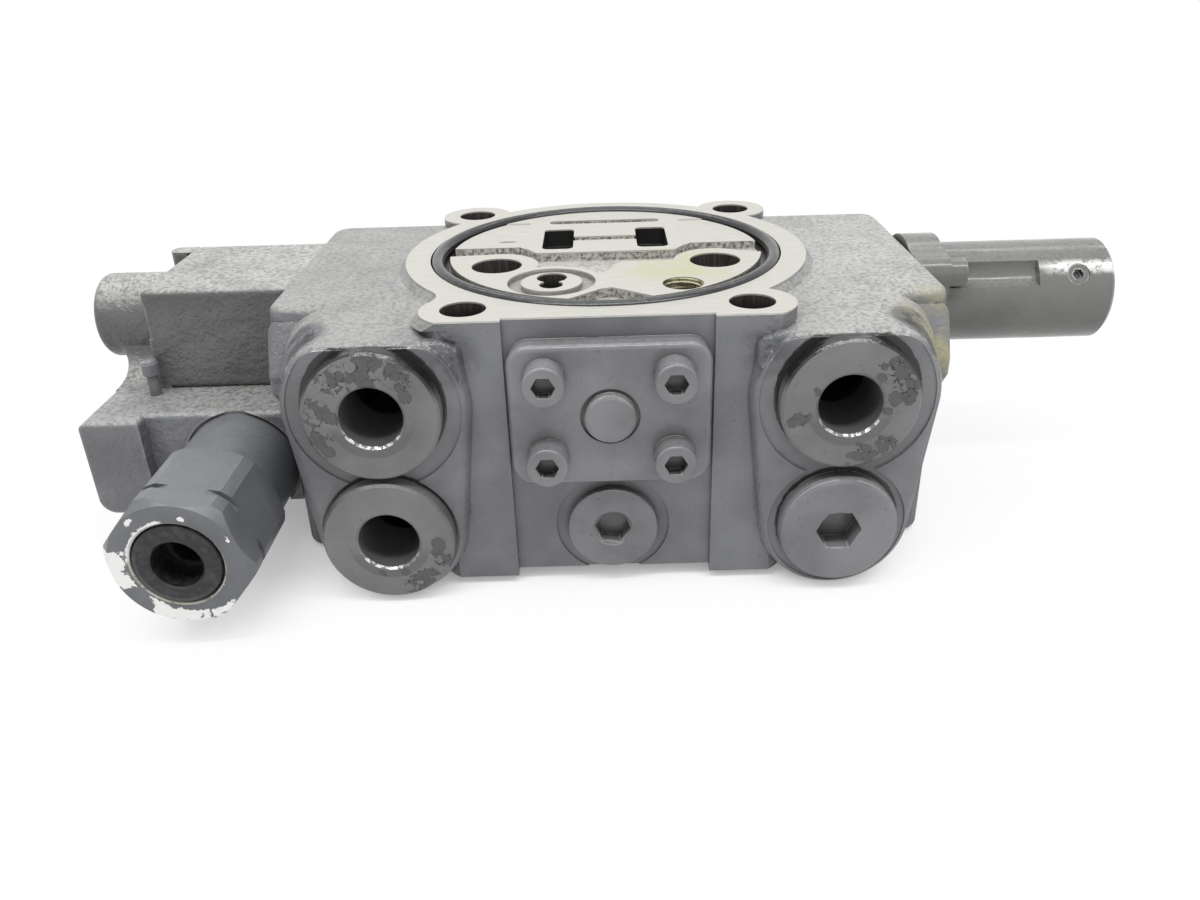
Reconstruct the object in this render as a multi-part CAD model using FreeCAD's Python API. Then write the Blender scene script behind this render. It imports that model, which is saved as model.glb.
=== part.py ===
"""Boom valve: a spool valve in a cast body with a round O-ring flange, a pilot housing and a spring cap.

Millimetres. The origin is the centre of the round flange face. +X runs along the spool towards the
spring cap, +Z is the flange normal, and the hose ports open towards -Y.
"""
import FreeCAD, Part
import math
import os

from FreeCAD import Placement, Rotation, Vector

X = Vector(1, 0, 0)
Y = Vector(0, 1, 0)
Z = Vector(0, 0, 1)
FRONT = Vector(0, -1, 0)

# Round mounting flange
flange_radius = 89.0
flange_step = 3.5
flange_draft = 3.0
flange_lip = 0.8
bolt_circle_radius = 94.7
front_bolt_angle = 54.2
back_bolt_angle = 46.8
bolt_hole_radius = 9.0
ear_radius = 17.0
flange_depth = 22.0
ear_blend_radius = 11.0

# Large O-ring and its groove
ring_cord = 5.7
ring_outer_radius = 77.9
groove_play = 0.3
groove_outer_radius = ring_outer_radius + groove_play
groove_width = 8.7
groove_depth = 4.3

# Lands and cast pockets inside the groove
pocket_depth = 4.0
rear_slot_y = 50.0
rear_slot_width = 6.0
rear_slot_half_length = 27.0
rear_land_front = -3.0
rear_land_step = 9.0
rear_land_half_width = 31.0
rear_land_slope = 8.0
pad_half_width = 36.5
pad_height = 0.5
window_x = 21.7
window_y = 19.6
window_width = 14.2
window_length = 34.0
window_corner = 3.0
bridge_groove_width = 7.0
bridge_groove_depth = 1.5
oil_hole_x = 47.2
oil_hole_y = -21.0
oil_hole_radius = 10.9
oil_hole_land = 18.0
oil_hole_depth = 45.0
seal_x = -22.6
seal_y = -45.5
seal_outer_radius = 18.2
seal_inner_radius = 12.6
seal_depth = 2.4
seal_land = 21.5
twin_hole_large = 6.3
twin_hole_small = 4.9
twin_hole_spacing = 9.4
twin_hole_depth = 28.0
orifice_x = 31.0
orifice_y = -52.2
orifice_hole_radius = 8.4
orifice_hole_depth = 13.0
front_pocket_x = 2.0
front_pocket_tip = -55.0
front_pocket_half_width = 19.0

# Body casting
body_half_length = 138.0
body_front = 60.0
body_back = 68.0
body_height = 117.0
body_corner = 9.0
body_edge = 4.0
flank_y = 91.0
flank_foot = 3.5
panel_y = 88.6
panel_half_width = 40.1
panel_foot = 6.0

# Hose ports
port_inset = 48.0
port_x = body_half_length - port_inset
upper_port_z = -33.0
lower_port_z = -87.8
boss_y = 97.0
upper_boss_radius = 35.5
lower_boss_radius = 29.2
boss_top = -6.5
boss_edge = 5.0
boss_crown = 15.0
boss_draft = 12.0
shoulder_y = 94.6
shoulder_foot = -50.0
shoulder_waist = -30.0
shoulder_corner = 5.0
shoulder_edge = 3.0
cheek_y = 70.0
cheek_height = 8.0
cheek_slope = 20.0
cheek_depth = 12.0
cheek_edge = 4.0
upper_spotface_radius = 33.6
lower_spotface_radius = 27.6
spotface_depth = 1.0
port_thread_radius = 20.6
port_thread_depth = 24.0
port_passage_radius = 13.2
collar_radius = 26.3
collar_height = 7.0
collar_edge = 1.0
port_bore_radius = 12.2
port_seal_cord = 2.4
plug_collar_radius = 23.7
plug_collar_edge = 2.2
plug_key = 16.0
plug_key_depth = 10.0
plug_key_bevel = 0.4

# Spool, its bore and the chambers round it
spool_y = 15.0
spool_z = -29.3
spool_radius = 11.0
spool_clearance = 0.05
spool_neck_radius = 7.0
chamber_radius = 15.5
chamber_width = 13.0
chamber_places = (-port_x, -oil_hole_x, -window_x, 0.0, window_x, oil_hole_x, port_x)
spool_necks = (-68.5, -34.5, 34.5, 68.5)
spool_neck_width = 16.0
notch_radius = 2.6
notch_count = 4

# Load check behind the cover plate
check_z = -37.3
check_bore_radius = 15.0
check_seat_y = 38.0
check_seat_radius = 9.0
check_length = 26.0
check_wall = 3.2
check_spring_radius = 10.2
check_spring_wire = 2.0
check_spring_turns = 6.0

# Cover plate and its screws
plate_width = 77.4
plate_height = 58.0
plate_thickness = 9.0
plate_corner = 8.5
plate_edge = 2.2
cover_screw_x = 24.5
cover_screw_z = 16.6
cover_seal_radius = 17.4
cover_seal_cord = 2.6
stud_head_radius = 10.0
stud_head_height = 3.4
stud_shank_radius = 6.0
stud_reach = 15.0
stud_ditch_width = 1.5
stud_ditch_depth = 1.2

# Centre plug
centre_plug_radius = 18.3
plug_gap = 5.8
centre_plug_z = check_z - plate_height / 2 - plug_gap - centre_plug_radius
centre_plug_height = 5.0
centre_plug_edge = 0.8
centre_plug_thread = 13.0
centre_plug_length = 16.0
centre_plug_key = 13.0
centre_plug_key_depth = 7.0
centre_plug_key_bevel = 1.6
centre_spotface_radius = 23.2
centre_spotface_depth = 0.8
centre_seal_cord = 2.6

# Pilot housing on the left end
housing_length = 67.0
housing_left = body_half_length + housing_length
housing_top = -7.0
housing_front = 21.5
housing_back = 51.5
housing_floor = -53.0
lower_reach = 21.5
lower_left = housing_left + lower_reach
lower_front = 58.6
lower_step_inset = 4.0
lower_step_x = housing_left - lower_step_inset
lower_step = 8.0
lower_bottom = -96.5
lower_back = 36.0
housing_edge = 2.5
lower_corner = 7.0
pilot_boss_radius = 19.6
pilot_boss_reach = 32.5
pilot_boss_end = housing_left + pilot_boss_reach
pilot_boss_edge = 3.5
pilot_bore_radius = 13.0
pilot_port_length = 15.5
pilot_bore_end = pilot_boss_end - pilot_port_length
pilot_port_radius = 6.6
neck_reach = 23.0
neck_left = housing_left + neck_reach
neck_scoop = 13.0
neck_front_scoop = 18.0
neck_dip = 3.0
lug_radius = 5.0
lug_y = 45.0
housing_screw_y = 27.0
housing_screw_z = 13.5
bleed_inset = 0.2
bleed_x = bleed_inset - housing_left
bleed_y = -27.6
bleed_radius = 2.5
bleed_head_radius = 3.8
bleed_head_height = 8.0
bleed_top = -36.0
pilot_stub_radius = 5.0
pilot_stub_length = 8.0
pilot_piston_length = 24.0

# Relief valve
relief_recess_radius = 25.2
relief_recess_depth = 2.0
relief_shank_radius = 24.0
relief_side_gap = 0.6
relief_x = -body_half_length - relief_side_gap - relief_shank_radius
relief_z = -78.0
relief_shoulder = 84.0
relief_body_radius = 28.2
relief_cone = 4.0
relief_hex = 51.0
relief_hex_turn = 50.0
relief_ditch_start = 116.0
relief_ditch_end = 119.0
relief_ditch_radius = 26.4
relief_end = 130.0
relief_chamfer = 2.8
relief_chamfer_length = 3.6
relief_thread_radius = 18.0
relief_inner_end = 4.0
relief_gallery = 14.0
relief_seat_radius = 6.0
relief_seat_wall = 10.0
relief_bore_radius = 12.5
relief_mouth_radius = 17.3
relief_mouth_depth = 26.0
relief_mouth_chamfer = 1.0
sleeve_rise = 0.8
sleeve_edge = 2.6
sleeve_bore_radius = 9.8
sleeve_inner_radius = 7.8
sleeve_step = 15.0
relief_poppet_length = 24.0
relief_poppet_wall = 2.6
relief_poppet_floor = 1.0
relief_cross_radius = 2.5
relief_cross_place = 6.0
relief_spring_wire = 2.6
relief_spring_turns = 7.0
relief_seal_cord = 2.6

# Spring cap on the right end
cap_flange_thickness = 15.5
cap_flange_radius = 27.6
cap_pad_radius = 8.0
cap_pad_blend = 20.0
cap_radius = 23.1
cap_bore_radius = 17.0
cap_length = 93.5
cap_end = body_half_length + cap_length
cap_wall = 9.0
cap_edge = 1.6
cap_fillet = 2.0
cap_screw_circle = 26.5
cap_screw_angles = (37.0, 217.0)
tool_groove_radius = 7.4
tool_groove_length = 59.0
tool_groove_end = body_half_length + tool_groove_length
cap_seal_cord = 3.0
cap_seal_radius = 17.6
set_screw_inset = 16.9
set_screw_x = cap_end - set_screw_inset
set_screw_angle = 34.0
set_screw_radius = 5.0
set_screw_setback = 0.6
seat_radius = 15.4
seat_thickness = 5.0
seat_gap = 0.3
return_spring_radius = 14.6
return_spring_wire = 3.4
return_spring_turns = 8.0

# Socket head screws: shank diameter, head diameter, key size
m8 = (8.0, 13.0, 6.0)
m10 = (10.0, 16.0, 8.0)
thread_clearance = 0.06
seat_clearance = 0.05
screw_hold = 20.0
screw_play = 0.3
head_play = 0.6
housing_key_turn = 30.0
thread_bevel = 1.5

# How far a cutting tool runs past the face that it opens
overcut = 1.0


def cylinder(radius, start, end):
    """Round bar from one point to another."""
    run = end - start
    return Part.makeCylinder(radius, run.Length, start, run)


def tube(outer, inner, start, end):
    return cylinder(outer, start, end).cut(cylinder(inner, start, end))


def ring(radius, cord, centre, axis):
    """O-ring: the radius is that of the cord's centre line."""
    return Part.makeTorus(radius, cord / 2, centre, axis)


def block(x0, x1, y0, y1, z0, z1):
    return Part.makeBox(x1 - x0, y1 - y0, z1 - z0, Vector(x0, y0, z0))


def polygon_prism(points, lift, z):
    """Prism over a flat outline of (x, y) points, from z up by lift."""
    corners = [Vector(x, y, z) for x, y in points]
    return Part.Face(Part.makePolygon(corners + corners[:1])).extrude(Vector(0, 0, lift))


def parallel_edges(shape, axis):
    """Straight edges of a shape that run along an axis."""
    found = []
    for edge in shape.Edges:
        if isinstance(edge.Curve, Part.Line) and abs(edge.Curve.Direction.dot(axis)) > 0.999:
            found.append(edge)
    return found


def edges_in_plane(shape, axis, place):
    """Edges that lie wholly in the plane where axis . point = place."""
    found = []
    for edge in shape.Edges:
        ends = (edge.FirstParameter, (edge.FirstParameter + edge.LastParameter) / 2, edge.LastParameter)
        if all(abs(edge.valueAt(at).dot(axis) - place) < 1e-4 for at in ends):
            found.append(edge)
    return found


def spun(profile, centre, axis):
    """Solid of revolution. The profile is a list of (distance along axis, radius) points."""
    side = X if abs(axis.dot(X)) < 0.5 else Z
    points = [centre + axis * along + side * radius for along, radius in profile]
    face = Part.Face(Part.makePolygon(points + points[:1]))
    return face.revolve(centre, axis, 360)


def hex_prism(across_flats, start, run, turn):
    """Hexagonal bar along run; turn is the angle of its first corner."""
    corner = across_flats / math.sqrt(3)
    points = []
    for step in range(6):
        angle = math.radians(turn + 60 * step)
        points.append(Vector(corner * math.cos(angle), corner * math.sin(angle), 0))
    prism = Part.Face(Part.makePolygon(points + points[:1])).extrude(Vector(0, 0, run.Length))
    prism.Placement = Placement(start, Rotation(Z, run))
    return prism


def socket_screw(size, head_seat, direction, grip, key_turn=0.0):
    """Socket head cap screw. Its head stands on head_seat and the shank runs along direction."""
    shank, head, key = size
    edge = head * 0.06
    top = head_seat - direction * shank
    screw = Part.makeCylinder(head / 2, shank, top, direction)
    screw = screw.makeFillet(edge, edges_in_plane(screw, direction, top.dot(direction)))
    screw = screw.fuse(Part.makeCylinder(shank / 2, grip, head_seat, direction))
    socket = hex_prism(key, top, direction * (shank * 0.55), key_turn)
    return screw.cut(socket)


def coil_spring(radius, wire, turns, start, end):
    """Compression spring whose wire stays between the planes at start and end."""
    run = end - start
    length = run.Length - wire
    helix = Part.makeHelix(length / turns, length, radius)
    profile = Part.Wire([Part.makeCircle(wire / 2, Vector(radius, 0, 0), Y)])
    spring = Part.Wire(helix.Edges).makePipeShell([profile], True, True)
    spring.Placement = Placement(start + run.normalize() * (wire / 2), Rotation(Z, run))
    return spring


def spread(shape, places):
    """Copies of a shape at the given offsets, as one group of separate solids."""
    copies = []
    for place in places:
        copy = shape.copy()
        copy.translate(place)
        copies.append(copy)
    return Part.makeCompound(copies)


def bolt_places():
    front = math.radians(front_bolt_angle)
    back = math.radians(back_bolt_angle)
    places = []
    for side in (-1, 1):
        places.append(Vector(side * bolt_circle_radius * math.cos(front),
                             -bolt_circle_radius * math.sin(front), 0))
        places.append(Vector(side * bolt_circle_radius * math.cos(back),
                             bolt_circle_radius * math.sin(back), 0))
    return places


def eared_disc(radius, places, pad_radius, blend, axis):
    """Flat disc across an axis with a round ear at each place, the corners between them blended."""
    outline = Part.Face(Part.Wire([Part.makeCircle(radius, Vector(), axis)]))
    for place in places:
        outline = outline.fuse(Part.Face(Part.Wire([Part.makeCircle(pad_radius, place, axis)])))
    rim = outline.removeSplitter().Faces[0].OuterWire
    return Part.Face(rim.makeOffset2D(blend).makeOffset2D(-blend))


def arc(centre, radius, first, last):
    """Short arc round a centre, from one direction to another."""
    middle = (first + last).normalize()
    return Part.Arc(centre + first * radius, centre + middle * radius, centre + last * radius).toShape()


def column_outline(side, y, grow, top):
    """Outline round the two ports of one side, in the plane at y, with a flat crown at the height top."""
    upper = Vector(side * port_x, y, upper_port_z)
    lower = Vector(side * port_x, y, lower_port_z)
    high = upper_boss_radius + grow
    low = lower_boss_radius + grow
    crown = boss_crown + grow
    rise = top - crown - upper_port_z
    reach = math.sqrt((high - crown) ** 2 - rise ** 2)
    lean = math.asin((high - low) / (upper_port_z - lower_port_z))
    edges = []
    flat_ends = []
    foot_ends = []
    for hand in (-1, 1):
        out = Vector(hand * math.cos(lean), 0, -math.sin(lean))
        turn = Vector(hand * reach, 0, rise)
        centre = upper + turn
        turn.normalize()
        edges.append(arc(centre, crown, Z, turn))
        edges.append(arc(upper, high, turn, out))
        edges.append(Part.LineSegment(upper + out * high, lower + out * low).toShape())
        flat_ends.append(centre + Z * crown)
        foot_ends.append(lower + out * low)
    edges.append(Part.LineSegment(*flat_ends).toShape())
    edges.append(Part.Arc(foot_ends[0], lower - Z * low, foot_ends[1]).toShape())
    return Part.Wire(Part.__sortEdges__(edges))


def port_column(side):
    """Cast column that carries the upper and the lower port of one side. It widens towards the body."""
    root = -body_front + body_corner
    front = column_outline(side, -boss_y, 0, boss_top)
    back = column_outline(side, root, boss_draft, -flange_step)
    column = Part.makeLoft([front, back], True, True)
    column = column.makeFillet(boss_edge, edges_in_plane(column, Y, -boss_y))
    return column.common(block(-body_half_length, body_half_length, -boss_y, root, -body_height, 0))


def shoulder(side):
    """Cast web that falls from the ear of the flange to the side of the port column."""
    ear_x = abs(bolt_places()[0].x)
    inner = ear_x - shoulder_edge / 2
    points = [
        (port_x, boss_top), (ear_x + ear_radius / 2, boss_top), (ear_x, boss_top - shoulder_edge),
        (inner, shoulder_waist), (ear_x, shoulder_foot), (port_x, shoulder_foot),
    ]
    corners = [Vector(side * x, -shoulder_y, z) for x, z in points]
    web = Part.Face(Part.makePolygon(corners + corners[:1])).extrude(Y * (shoulder_y - body_front))
    inside = [edge for edge in parallel_edges(web, Y) if abs(edge.Vertexes[0].X) < port_x - 1]
    web = web.makeFillet(shoulder_corner, inside)
    return web.makeFillet(shoulder_edge, edges_in_plane(web, Y, -shoulder_y))


def cheek(side):
    """Cast swelling between the upper port and the side of the body."""
    low = upper_port_z - cheek_height / 2
    high = upper_port_z + cheek_height / 2
    points = [
        (-body_front, high + cheek_slope), (-cheek_y, high), (-cheek_y, low),
        (-body_front, low - cheek_depth),
    ]
    x = side * (port_x + upper_boss_radius / 2)
    corners = [Vector(x, y, z) for y, z in points]
    run = X * side * (body_half_length - abs(x))
    swelling = Part.Face(Part.makePolygon(corners + corners[:1])).extrude(run)
    ends = edges_in_plane(swelling, X, side * body_half_length)
    outer = [edge for edge in ends if edge.BoundBox.YMin < -body_front - 1]
    return swelling.makeFillet(cheek_edge, outer)


def cast_flange():
    """Round flange with its ears, the flank under the front ears and the rear bolt columns."""
    ears = bolt_places()
    half_width = abs(ears[0].x)
    face = eared_disc(flange_radius, ears, ear_radius, ear_blend_radius, Z)
    foot = eared_disc(flange_radius + flange_draft, ears, ear_radius + flange_draft,
                      ear_blend_radius - flange_draft, Z)
    face_edge = face.OuterWire.translated(Z * -flange_lip)
    foot_edge = foot.OuterWire.translated(Z * -flange_step)
    flange = face.extrude(Z * -flange_depth).fuse(Part.makeLoft([face_edge, foot_edge], True, True))
    flange = flange.fuse(block(-half_width, half_width, -flank_y, 0, flank_foot - body_height, 0))
    for place in ears:
        flange = flange.fuse(cylinder(ear_radius, place - Z * (body_height - flank_foot), place))
    beyond = block(-body_half_length, body_half_length, -flank_y - ear_radius, -flank_y, -body_height, 1)
    return flange.cut(beyond)


def cast_body():
    """Outside of the casting, before any machining."""
    body = block(-body_half_length, body_half_length, -body_front, body_back, -body_height, -flange_step)
    body = body.makeFillet(body_corner, parallel_edges(body, Z))
    rims = edges_in_plane(body, Z, -flange_step) + edges_in_plane(body, Z, -body_height)
    body = body.makeFillet(body_edge, rims)
    body = body.fuse(cast_flange())
    for side in (-1, 1):
        for growth in (port_column(side), shoulder(side), cheek(side)):
            body = body.fuse(growth)
    return body.removeSplitter()


def machined_panel():
    """Metal removed in front: the flat panel and the arch under it."""
    front = block(-panel_half_width, panel_half_width, -boss_y, -panel_y, -body_height, 10)
    arch = block(-panel_half_width, panel_half_width, -boss_y, -body_front - body_corner, -body_height,
                 panel_foot - body_height)
    return [front, arch]


def flange_face_pockets():
    """O-ring groove, cast pockets and small seats in the round flange face."""
    inner = groove_outer_radius - groove_width
    groove = tube(groove_outer_radius, inner, Vector(0, 0, -groove_depth), Vector(0, 0, 1))
    disc = cylinder(inner + 0.5, Vector(0, 0, -pocket_depth), Vector(0, 0, 1))
    depth = pocket_depth + 1
    left = -rear_land_half_width
    right = rear_land_half_width
    shoulder = rear_land_front + rear_land_step + 3
    band = polygon_prism([
        (left - rear_land_slope, shoulder), (left, rear_land_front), (right, rear_land_front),
        (right + rear_land_slope, shoulder), (groove_outer_radius, shoulder),
        (groove_outer_radius, seal_y), (-groove_outer_radius, seal_y),
        (-groove_outer_radius, shoulder),
    ], depth, -pocket_depth)
    saddle_x = seal_x + seal_land
    saddle_y = seal_y + seal_land / 2
    land_low = Vector(0, 0, -pocket_depth - overcut)
    land_high = Vector(0, 0, 2)
    lands = polygon_prism([
        (-inner - overcut, oil_hole_y + oil_hole_land - 2),
        (-oil_hole_x, oil_hole_y + oil_hole_land), (seal_x, seal_y), (saddle_x, saddle_y),
        (saddle_x + 8, oil_hole_y + 2), (oil_hole_x, oil_hole_y + 2),
        (oil_hole_x, oil_hole_y + oil_hole_land),
        (inner + overcut, oil_hole_y + oil_hole_land - 8), (inner + overcut, -inner),
        (-inner - overcut, -inner),
    ], depth + 2, -pocket_depth - overcut)
    for x, y, radius in ((-oil_hole_x, oil_hole_y, oil_hole_land), (oil_hole_x, oil_hole_y, oil_hole_land),
                         (seal_x, seal_y, seal_land)):
        lands = lands.fuse(cylinder(radius, Vector(x, y, 0) + land_low, Vector(x, y, 0) + land_high))
    band = band.cut(lands).common(disc)
    tip = front_pocket_half_width / 4
    notch = polygon_prism([
        (front_pocket_x - front_pocket_half_width, -inner),
        (front_pocket_x - tip, front_pocket_tip - tip / 3), (front_pocket_x, front_pocket_tip),
        (front_pocket_x + tip, front_pocket_tip - tip * 2 / 3),
        (front_pocket_x + front_pocket_half_width, -inner),
    ], depth, -pocket_depth)
    rear = block(-rear_slot_half_length, rear_slot_half_length, rear_slot_y - rear_slot_width / 2,
                 rear_slot_y + rear_slot_width / 2, -pocket_depth, 1)
    rear = rear.makeFillet(rear_slot_width / 2 - 0.1, parallel_edges(rear, Z))
    seal = tube(seal_outer_radius, seal_inner_radius, Vector(seal_x, seal_y, -seal_depth),
                Vector(seal_x, seal_y, 1))
    side_land = cylinder(inner + 0.2, Vector(0, 0, -pad_height), Vector(0, 0, 1))
    side_land = side_land.common(block(-inner, inner, rear_land_front, rear_slot_y, -pad_height, 1))
    side_land = side_land.cut(block(-pad_half_width, pad_half_width, -inner, inner, -2, 2))
    return [groove, band, notch.common(disc), rear, seal, side_land]


def flange_face_holes():
    """Windows, oil holes and tapped hole that open in the round flange face."""
    spool_axis = Vector(0, spool_y, spool_z)
    holes = []
    for side in (-1, 1):
        window = block(-window_width / 2, window_width / 2, -window_length / 2, window_length / 2, spool_z,
                       1)
        window = window.makeFillet(window_corner, parallel_edges(window, Z))
        window.translate(Vector(side * window_x, window_y, 0))
        holes.append(window)
        mouth = Vector(side * oil_hole_x, oil_hole_y, 1)
        holes.append(cylinder(oil_hole_radius, Vector(side * oil_hole_x, oil_hole_y, -oil_hole_depth),
                              mouth))
        cross = Vector(side * oil_hole_x, oil_hole_y, spool_z)
        holes.append(cylinder(spool_neck_radius, cross, spool_axis + X * side * oil_hole_x))
    bridge = block(-window_x, window_x, window_y - bridge_groove_width / 2,
                   window_y + bridge_groove_width / 2,
                   -bridge_groove_depth, 1)
    holes.append(bridge)
    for offset, radius in ((twin_hole_spacing * 0.58, twin_hole_large),
                           (-twin_hole_spacing * 0.42, twin_hole_small)):
        top = Vector(seal_x, seal_y + offset, 1)
        holes.append(cylinder(radius, Vector(top.x, top.y, -twin_hole_depth), top))
    holes.append(cylinder(orifice_hole_radius, Vector(orifice_x, orifice_y, -orifice_hole_depth),
                          Vector(orifice_x, orifice_y, 1)))
    holes.append(cylinder(orifice_hole_radius * 0.55, Vector(orifice_x, orifice_y, check_z),
                          Vector(orifice_x, orifice_y, 0)))
    gallery = Vector(seal_x, orifice_y, -twin_hole_depth + twin_hole_small)
    holes.append(cylinder(twin_hole_small * 0.8, gallery, gallery + X * (orifice_x - seal_x)))
    return holes


def passages():
    """Bores and cored passages inside the casting."""
    axis = Vector(0, spool_y, spool_z)
    cuts = [cylinder(spool_radius + spool_clearance, axis - X * (body_half_length + overcut),
                     axis + X * (body_half_length + overcut))]
    for place in chamber_places:
        middle = axis + X * place
        cuts.append(cylinder(chamber_radius, middle - X * chamber_width / 2,
                             middle + X * chamber_width / 2))
    for side in (-1, 1):
        for z, reach in ((upper_port_z, spool_y), (lower_port_z, spool_y)):
            mouth = Vector(side * port_x, -boss_y - overcut, z)
            thread_end = Vector(mouth.x, -boss_y + spotface_depth + port_thread_depth, z)
            cuts.append(cylinder(port_thread_radius + thread_clearance, mouth, thread_end))
            cuts.append(cylinder(port_passage_radius, thread_end - Y, Vector(mouth.x, reach, z)))
        turn = Vector(side * port_x, spool_y, lower_port_z)
        inboard = Vector(side * chamber_places[-2], spool_y, lower_port_z)
        cuts.append(Part.makeSphere(port_passage_radius, turn))
        cuts.append(cylinder(port_passage_radius * 0.8, turn, inboard))
        cuts.append(Part.makeSphere(port_passage_radius * 0.8, inboard))
        cuts.append(cylinder(port_passage_radius * 0.6, inboard, Vector(inboard.x, spool_y, spool_z)))
    check = Vector(0, 0, check_z)
    cuts.append(cylinder(check_bore_radius, check - Y * (panel_y + overcut), check - Y * check_seat_y))
    cuts.append(cylinder(check_seat_radius, check - Y * (check_seat_y + overcut),
                         check + Y * (spool_y - chamber_radius + 3)))
    plug = Vector(0, 0, centre_plug_z)
    cuts.append(cylinder(centre_plug_thread + thread_clearance, plug - Y * (panel_y + overcut),
                         plug - Y * (panel_y - centre_plug_length - 3)))
    cuts.append(cylinder(centre_plug_thread * 0.6, plug - Y * panel_y, plug - Y * oil_hole_radius))
    cuts.append(cylinder(centre_plug_thread * 0.45, plug - Y * (check_seat_y + 10),
                         check - Y * (check_seat_y + 10)))
    return cuts


def spotfaces():
    cuts = []
    for side in (-1, 1):
        for z, radius in ((upper_port_z, upper_spotface_radius), (lower_port_z, lower_spotface_radius)):
            face = Vector(side * port_x, -boss_y + spotface_depth, z)
            cuts.append(cylinder(radius, face, face - Y * (spotface_depth + overcut)))
    centre = Vector(0, -panel_y + centre_spotface_depth, centre_plug_z)
    cuts.append(cylinder(centre_spotface_radius, centre, centre - Y * 2))
    return cuts


def cover_screw_offsets():
    return [Vector(sx * cover_screw_x, 0, sz * cover_screw_z) for sx in (-1, 1) for sz in (-1, 1)]


def cap_screw_offsets():
    places = []
    for angle in cap_screw_angles:
        turn = math.radians(angle)
        places.append(Vector(0, -cap_screw_circle * math.cos(turn), cap_screw_circle * math.sin(turn)))
    return places


def housing_screw_offsets():
    return [Vector(0, sy * housing_screw_y, sz * housing_screw_z) for sy in (-1, 1) for sz in (-1, 1)]


def screw_holes():
    cuts = []
    for place in bolt_places():
        cuts.append(cylinder(bolt_hole_radius, place - Z * (body_height + overcut), place + Z))
    for offset in cover_screw_offsets():
        face = Vector(0, -panel_y, check_z) + offset
        cuts.append(cylinder(m10[0] / 2 + thread_clearance, face - Y, face + Y * (screw_hold + overcut)))
    for offset in cap_screw_offsets():
        face = Vector(body_half_length, spool_y, spool_z) + offset
        cuts.append(cylinder(m8[0] / 2 + thread_clearance, face + X, face - X * (screw_hold + overcut)))
    for offset in housing_screw_offsets():
        face = Vector(-body_half_length, spool_y, spool_z) + offset
        cuts.append(cylinder(m10[0] / 2 + thread_clearance, face - X, face + X * (screw_hold + overcut)))
    return cuts


def make_valve_body():
    body = cast_body()
    faces = machined_panel() + flange_face_pockets() + spotfaces()
    for cut in faces + flange_face_holes() + passages() + screw_holes():
        body = body.cut(cut)
    return body.removeSplitter()


def make_flange_o_ring():
    centre = Vector(0, 0, ring_cord / 2 - groove_depth)
    return ring(ring_outer_radius - ring_cord / 2, ring_cord, centre, Z)


def make_orifice_plug():
    """Threaded plug with a small oil hole, at the bottom of its tapped hole."""
    base = Vector(orifice_x, orifice_y, -orifice_hole_depth)
    height = orifice_hole_depth * 0.6
    plug = cylinder(orifice_hole_radius - thread_clearance, base, base + Z * height)
    plug = plug.cut(cylinder(orifice_hole_radius * 0.74, base + Z * height * 0.45,
                             base + Z * (height + overcut)))
    return plug.cut(cylinder(orifice_hole_radius * 0.36, base - Z, base + Z * height))


def port_bush(side, z):
    """Screwed-in port bush: collar in front, thread in the casting, through bore."""
    seat = Vector(side * port_x, -boss_y + spotface_depth, z)
    profile = [
        (0, collar_radius), (collar_height - collar_edge, collar_radius),
        (collar_height, collar_radius - collar_edge),
        (collar_height, port_bore_radius + collar_edge),
        (collar_height - collar_edge, port_bore_radius), (-port_thread_depth, port_bore_radius),
        (-port_thread_depth, port_thread_radius - thread_bevel),
        (thread_bevel - port_thread_depth, port_thread_radius), (0, port_thread_radius),
    ]
    bush = spun(profile, seat, FRONT)
    return bush.cut(port_seal(side, z, port_seal_cord + 0.1))


def port_seal(side, z, cord):
    seat = Vector(side * port_x, -boss_y + spotface_depth - port_seal_cord / 2, z)
    return ring(port_thread_radius + port_seal_cord / 2 + 0.1, cord, seat, Y)


def make_port_o_rings():
    return Part.makeCompound([port_seal(-1, upper_port_z, port_seal_cord),
                              port_seal(-1, lower_port_z, port_seal_cord),
                              port_seal(1, upper_port_z, port_seal_cord)])


def socket_plug(seat, collar, height, edge, thread, length, key, key_depth, key_turn, bevel):
    """Hexagon socket plug with a round collar that faces the front."""
    profile = [
        (-length, 0), (height, 0), (height, collar - edge),
        (height - edge * 0.3, collar - edge * 0.3), (height - edge, collar), (0, collar),
        (0, thread), (1 - length, thread), (-length, thread - 1),
    ]
    plug = spun(profile, seat, FRONT)
    mouth = seat + FRONT * height
    plug = plug.cut(hex_prism(key, mouth, -FRONT * key_depth, key_turn))
    cone = key / 2 + bevel
    return plug.cut(spun([(-bevel, 0), (0, 0), (0, cone), (-bevel, cone - bevel)], mouth, FRONT))


def make_lower_right_plug():
    seat = Vector(port_x, -boss_y + spotface_depth, lower_port_z)
    plug = socket_plug(seat, plug_collar_radius, collar_height, plug_collar_edge, port_thread_radius,
                       port_thread_depth, plug_key, plug_key_depth, 0, plug_key_bevel)
    return plug.cut(port_seal(1, lower_port_z, port_seal_cord + 0.1))


def centre_seal(cord):
    centre = Vector(0, -panel_y + centre_spotface_depth - centre_seal_cord / 2, centre_plug_z)
    return ring(centre_plug_thread + centre_seal_cord / 2 + 0.1, cord, centre, Y)


def make_centre_plug():
    seat = Vector(0, -panel_y + centre_spotface_depth, centre_plug_z)
    plug = socket_plug(seat, centre_plug_radius, centre_plug_height, centre_plug_edge, centre_plug_thread,
                       centre_plug_length, centre_plug_key, centre_plug_key_depth, 8, centre_plug_key_bevel)
    return plug.cut(centre_seal(centre_seal_cord + 0.1))


def cover_seal(cord):
    centre = Vector(0, -panel_y - cover_seal_cord / 2, check_z)
    return ring(cover_seal_radius, cord, centre, Y)


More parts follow.
